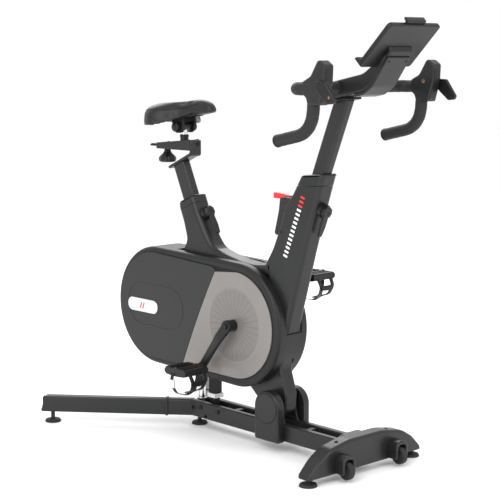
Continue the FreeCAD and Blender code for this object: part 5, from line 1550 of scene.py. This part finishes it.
@dataclass
class Drive:
    """Crank arms, pedals with cages and straps, and the crank's trim."""

    arm: float = 170.0
    angle: float = 232.5
    arm_middle: float = 97.0
    pedal_middle: float = 157.0

    def build(self) -> None:
        """Makes both cranks and pedals."""
        for name, side in SIDES:
            turn = math.radians(self.angle if side < 0 else self.angle - 180)
            self.crank(name, side, turn)
            self.pedal(name, side, self.arm * math.cos(turn), CRANK_Z + self.arm * math.sin(turn))
        log.info("cranks and pedals")

    def crank(self, name: str, side: int, turn: float) -> None:
        """Arm: a rounded bar that steps outwards below its hub, with a round boss at each end.

        Args:
            name: Side name.
            side: 1 or -1.
            turn: Angle of the arm.
        """
        ahead = np.array([math.cos(turn), 0, math.sin(turn)])
        share = np.linspace(0, 1, 46)
        ease = np.clip(share / 0.32, 0, 1)
        out = self.arm_middle - 6 * (1 - ease ** 2 * (3 - 2 * ease))
        offset = np.stack([share * 0, side * out, share * 0 + CRANK_Z], 1)
        path = ahead * (share * self.arm)[:, None] + offset
        wide = np.interp(share, [0, 0.12, 0.5, 0.9, 1], [30, 30, 25, 24, 26])
        thick = np.interp(share, [0, 0.15, 0.5, 1], [17, 15, 13, 13])
        sections = np.array([box_section(w, t, 4.2) for w, t in zip(wide, thick)])
        bar = sweep(f"crank_bar_{name}", path, sections, "crank", BLACK)
        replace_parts(bar, f"crank_arm_{name}")
        end = ahead * self.arm
        lathe(f"crank_hub_{name}", [(0.5, 62), (17, 62), (17, 84), (18, 86), (18, 96), (16, 99), (10, 99.6),
                                    (9.4, 98), (0.5, 98)],
              (0, 0, CRANK_Z), (0, side, 0), "crank", BLACK, 48)
        lathe(f"crank_end_{name}", [(0.5, 90), (13, 90), (14, 91), (14, 103), (12.6, 104.4), (8, 104.4),
                                    (7, 103.4), (0.5, 103.4)], (end[0], 0, CRANK_Z + end[2]), (0, side, 0),
              "crank", BLACK, 48)
        lathe(f"crank_socket_{name}", [(17.6, 60.5), (23.3, 60.5), (23.3, 63.4), (17.6, 63.4)],
              (0, 0, CRANK_Z), (0, side, 0), "frame", SEAM, 64)

    def pedal(self, name: str, side: int, x: float, z: float) -> None:
        """Caged pedal: barrel, two side plates, end bars, ribs, and a toe cage and strap below.

        Args:
            name: Side name.
            side: 1 or -1.
            x: Spindle's place ahead of the crank axis.
            z: Spindle's height.
        """
        body = f"pedal_{name}_body"
        y = side * self.pedal_middle
        barrel = lathe(f"pedal_barrel_{name}", [(6.3, -44), (12, -44), (14, -40), (11, -34), (11, 34),
                                                (14, 40), (12, 45), (0.5, 46), (0.5, 45), (6.3, 44)],
                       (x, y, z), (0, side, 0), body, BLACK, 40)
        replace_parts(barrel, f"pedal_{name}")
        for plate in (-1, 1):
            outline = corners([(x - 40, z - 10), (x - 20, z - 12), (x + 20, z - 12), (x + 40, z - 10),
                               (x + 47, z - 3), (x + 47, z + 5), (x + 38, z + 11), (x - 38, z + 11),
                               (x - 47, z + 5), (x - 47, z - 3)],
                              [4, 10, 10, 4, 4, 4, 5, 5, 4, 4])
            inner = y + plate * 41
            wall = edge_profile(inner - 4, inner + 4, 1.6, 1.6, 4)
            slab(f"pedal_plate_{name}_{plate + 1}", outline, wall, body, BLACK)
            bar = corners([(x + plate * 40 - 6, z - 9), (x + plate * 40 + 6, z - 9),
                           (x + plate * 40 + 6, z + 11), (x + plate * 40 - 6, z + 11)], 3)
            between = edge_profile(y - 41, y + 41, 0.6, 0.6, 2)
            slab(f"pedal_bar_{name}_{plate + 1}", bar, between, body, BLACK)
            rib = corners([(x + plate * 22 - 2.5, z + 1), (x + plate * 22 + 2.5, z + 1),
                           (x + plate * 22 + 2.5, z + 10.5), (x + plate * 22 - 2.5, z + 10.5)], 1)
            between = edge_profile(y - 41, y + 41, 0.3, 0.3, 2)
            slab(f"pedal_rib_{name}_{plate + 1}", rib, between, body, BLACK)
        self.cage(name, body, x, y, z)

    def cage(self, name: str, body: str, x: float, y: float, z: float) -> None:
        """Toe cage of two curved bars and a bridge, and the strap with its buckle.

        Args:
            name: Side name.
            body: Pedal body.
            x: Spindle's place.
            y: Pedal's middle.
            z: Spindle's height.
        """
        for number, shift in enumerate((-26, 26)):
            path = smooth_path([(x + 44, y + shift, z - 2), (x + 58, y + shift * 0.9, z - 26),
                                (x + 46, y + shift * 0.7, z - 52), (x + 14, y + shift * 0.55, z - 62)],
                               [22, 22], 2)
            sweep(f"toe_cage_{name}_{number}", path, box_section(4, 13, 1.6), body, BLACK, ends=3)
        bridge = smooth_path([(x + 18, y - 15, z - 61), (x + 18, y, z - 62.5), (x + 18, y + 15, z - 61)],
                             20, 2)
        sweep(f"toe_bridge_{name}", bridge, box_section(4, 16, 1.6), body, BLACK, side=(1, 0, 0.2))
        nose = smooth_path([(x + 57, y - 22, z - 30), (x + 58, y, z - 31), (x + 57, y + 22, z - 30)], 20, 2)
        sweep(f"toe_nose_{name}", nose, box_section(4, 15, 1.6), body, BLACK, side=(0, 0, 1))
        loop = [(x - 6, y - 47, z - 4), (x - 10, y - 50, z - 34), (x - 4, y - 34, z - 66),
                (x + 2, y, z - 74), (x - 4, y + 34, z - 66), (x - 10, y + 50, z - 34),
                (x - 6, y + 47, z - 4)]
        path = smooth_path(loop, [30, 24, 30, 24, 30], 2)
        strap = sweep(f"strap_loop_{name}", path, box_section(1.8, 14, 0.7), body, WEBBING, side=(1, 0, 0))
        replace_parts(strap, f"toe_strap_{name}")
        slab(f"strap_buckle_{name}", rounded([(x - 14, z - 46), (x + 6, z - 46), (x + 6, z - 22),
                                              (x - 14, z - 22)], 3),
             edge_profile(y - 51.5, y - 47.5, 1, 1, 3), body, CHROME)


class InnerParts:
    """Finishes for the CAD pieces that show as they are, and soft-edged copies of a few."""

    plain: dict = {
        SHELL: ("shroud_left", "shroud_right"),
        POWDER: ("core_frame",),
        CHROME: ("pivot_shaft", "pedal_spindles", "damper_rod", "bearings"),
        STEEL: ("base_fasteners", "frame_fasteners", "magnet_bracket", "crank_axle"),
        IRON: ("flywheel",),
        ALLOY: ("drive_pulley",),
        RUBBER: ("drive_belt",),
    }
    soft: dict = {
        "foot_mid": (RUBBER, 0.8), "foot_rear_left": (RUBBER, 0.8), "foot_rear_right": (RUBBER, 0.8),
        "foot_front_left": (RUBBER, 0.8), "foot_front_right": (RUBBER, 0.8),
        "lift_outer": (STEEL, 1.5), "lift_inner": (POWDER, 1.5), "damper_body": (STEEL, 1.5),
                  "stop_lever": (RED, 1.8),
    }

    def build(self) -> None:
        """Dresses the CAD nodes."""
        for finish, names in self.plain.items():
            for name in names:
                mesh = frame["nodes"][name].data
                mesh.materials.clear()
                mesh.materials.append(finish.material())
        for name, (finish, radius) in self.soft.items():
            soft_copy(name, radius, finish)
        x = joint_named("lift_upper_pivot")["pos_m"][0] / MM - CRANK_X
        sleeve = corners([(x - 18.6, -17.6), (x + 18.6, -17.6), (x + 18.6, 17.6), (x - 18.6, 17.6)], 3)
        slab("lift_collar_sleeve", sleeve, edge_profile(97.6, 110.4, 1, 1, 3), "lift_upper", WHITE,
             Plane.TOP)
        log.info("inner parts")


# ------------------------------------------------------------------ studio


@dataclass
class Studio:
    """Floor, soft lights and the camera."""

    eye: tuple = (2.9268, -2.7387, 1.1286)
    azimuth: float = 46.9
    elevation: float = 8.05
    lens: float = 100.4
    lights: list = field(default_factory=lambda: [
        ("key_light", (1.6, -3.2, 3.4), 3.2, 95.0), ("fill_light", (3.8, 0.6, 2.0), 2.6, 45.0),
        ("back_light", (-2.6, 1.8, 3.0), 2.6, 70.0), ("low_light", (0.4, -3.4, 0.7), 2.0, 20.0)])

    def build(self) -> None:
        """Makes the floor, world, lights and camera."""
        scene = bpy.context.scene
        floor_mesh = bpy.data.meshes.new("studio_floor")
        reach = 14.0
        floor_mesh.from_pydata([(-reach, -reach, 0), (reach, -reach, 0), (reach, reach, 0),
                                (-reach, reach, 0)], [],
                               [(0, 1, 2, 3)])
        floor = bpy.data.objects.new("studio_floor", floor_mesh)
        scene.collection.objects.link(floor)
        paper = bpy.data.materials.new("pale_floor")
        paper.use_nodes = True
        paper.node_tree.nodes["Principled BSDF"].inputs["Base Color"].default_value = (1.0, 1.0, 1.0, 1)
        paper.node_tree.nodes["Principled BSDF"].inputs["Roughness"].default_value = 0.85
        floor_mesh.materials.append(paper)
        world = bpy.data.worlds.new("soft_white")
        world.use_nodes = True
        world.node_tree.nodes["Background"].inputs["Color"].default_value = (1, 1, 1, 1)
        world.node_tree.nodes["Background"].inputs["Strength"].default_value = 1.0
        scene.world = world
        scene.view_settings.view_transform = "Standard"
        for name, spot, size, power in self.lights:
            lamp = bpy.data.lights.new(name, "AREA")
            lamp.shape = "SQUARE"
            lamp.size = size
            lamp.energy = power
            light = bpy.data.objects.new(name, lamp)
            light.location = spot
            light.rotation_euler = (Vector((0, 0, 0.55)) - Vector(spot)).to_track_quat("-Z", "Y").to_euler()
            scene.collection.objects.link(light)
        lens = bpy.data.cameras.new("main_camera")
        lens.lens = self.lens
        lens.sensor_width = 36.0
        camera = bpy.data.objects.new("main_camera", lens)
        camera.location = (self.eye[0] + CRANK_X * MM, self.eye[1], self.eye[2])
        camera.rotation_euler = (math.radians(90 - self.elevation), 0, math.radians(self.azimuth))
        scene.collection.objects.link(camera)
        scene.camera = camera


def main() -> None:
    """Builds the bike, group by group, then the studio."""
    logging.basicConfig(level=logging.INFO)
    InnerParts().build()
    Shroud().build()
    MainFrame().build()
    Base().build()
    Seat().build()
    Clamp("seat_clamp", "seat_clamp", "seat_clamp_lever", (-195.4, 0, 651.8), 65.5, 148).build()
    Clamp("head_clamp", "head_clamp", "head_clamp_lever", (286, 0, 703), 108.6, 202).build()
    Cockpit().build()
    Drive().build()
    Studio().build()


if __name__ == "__main__":
    main()
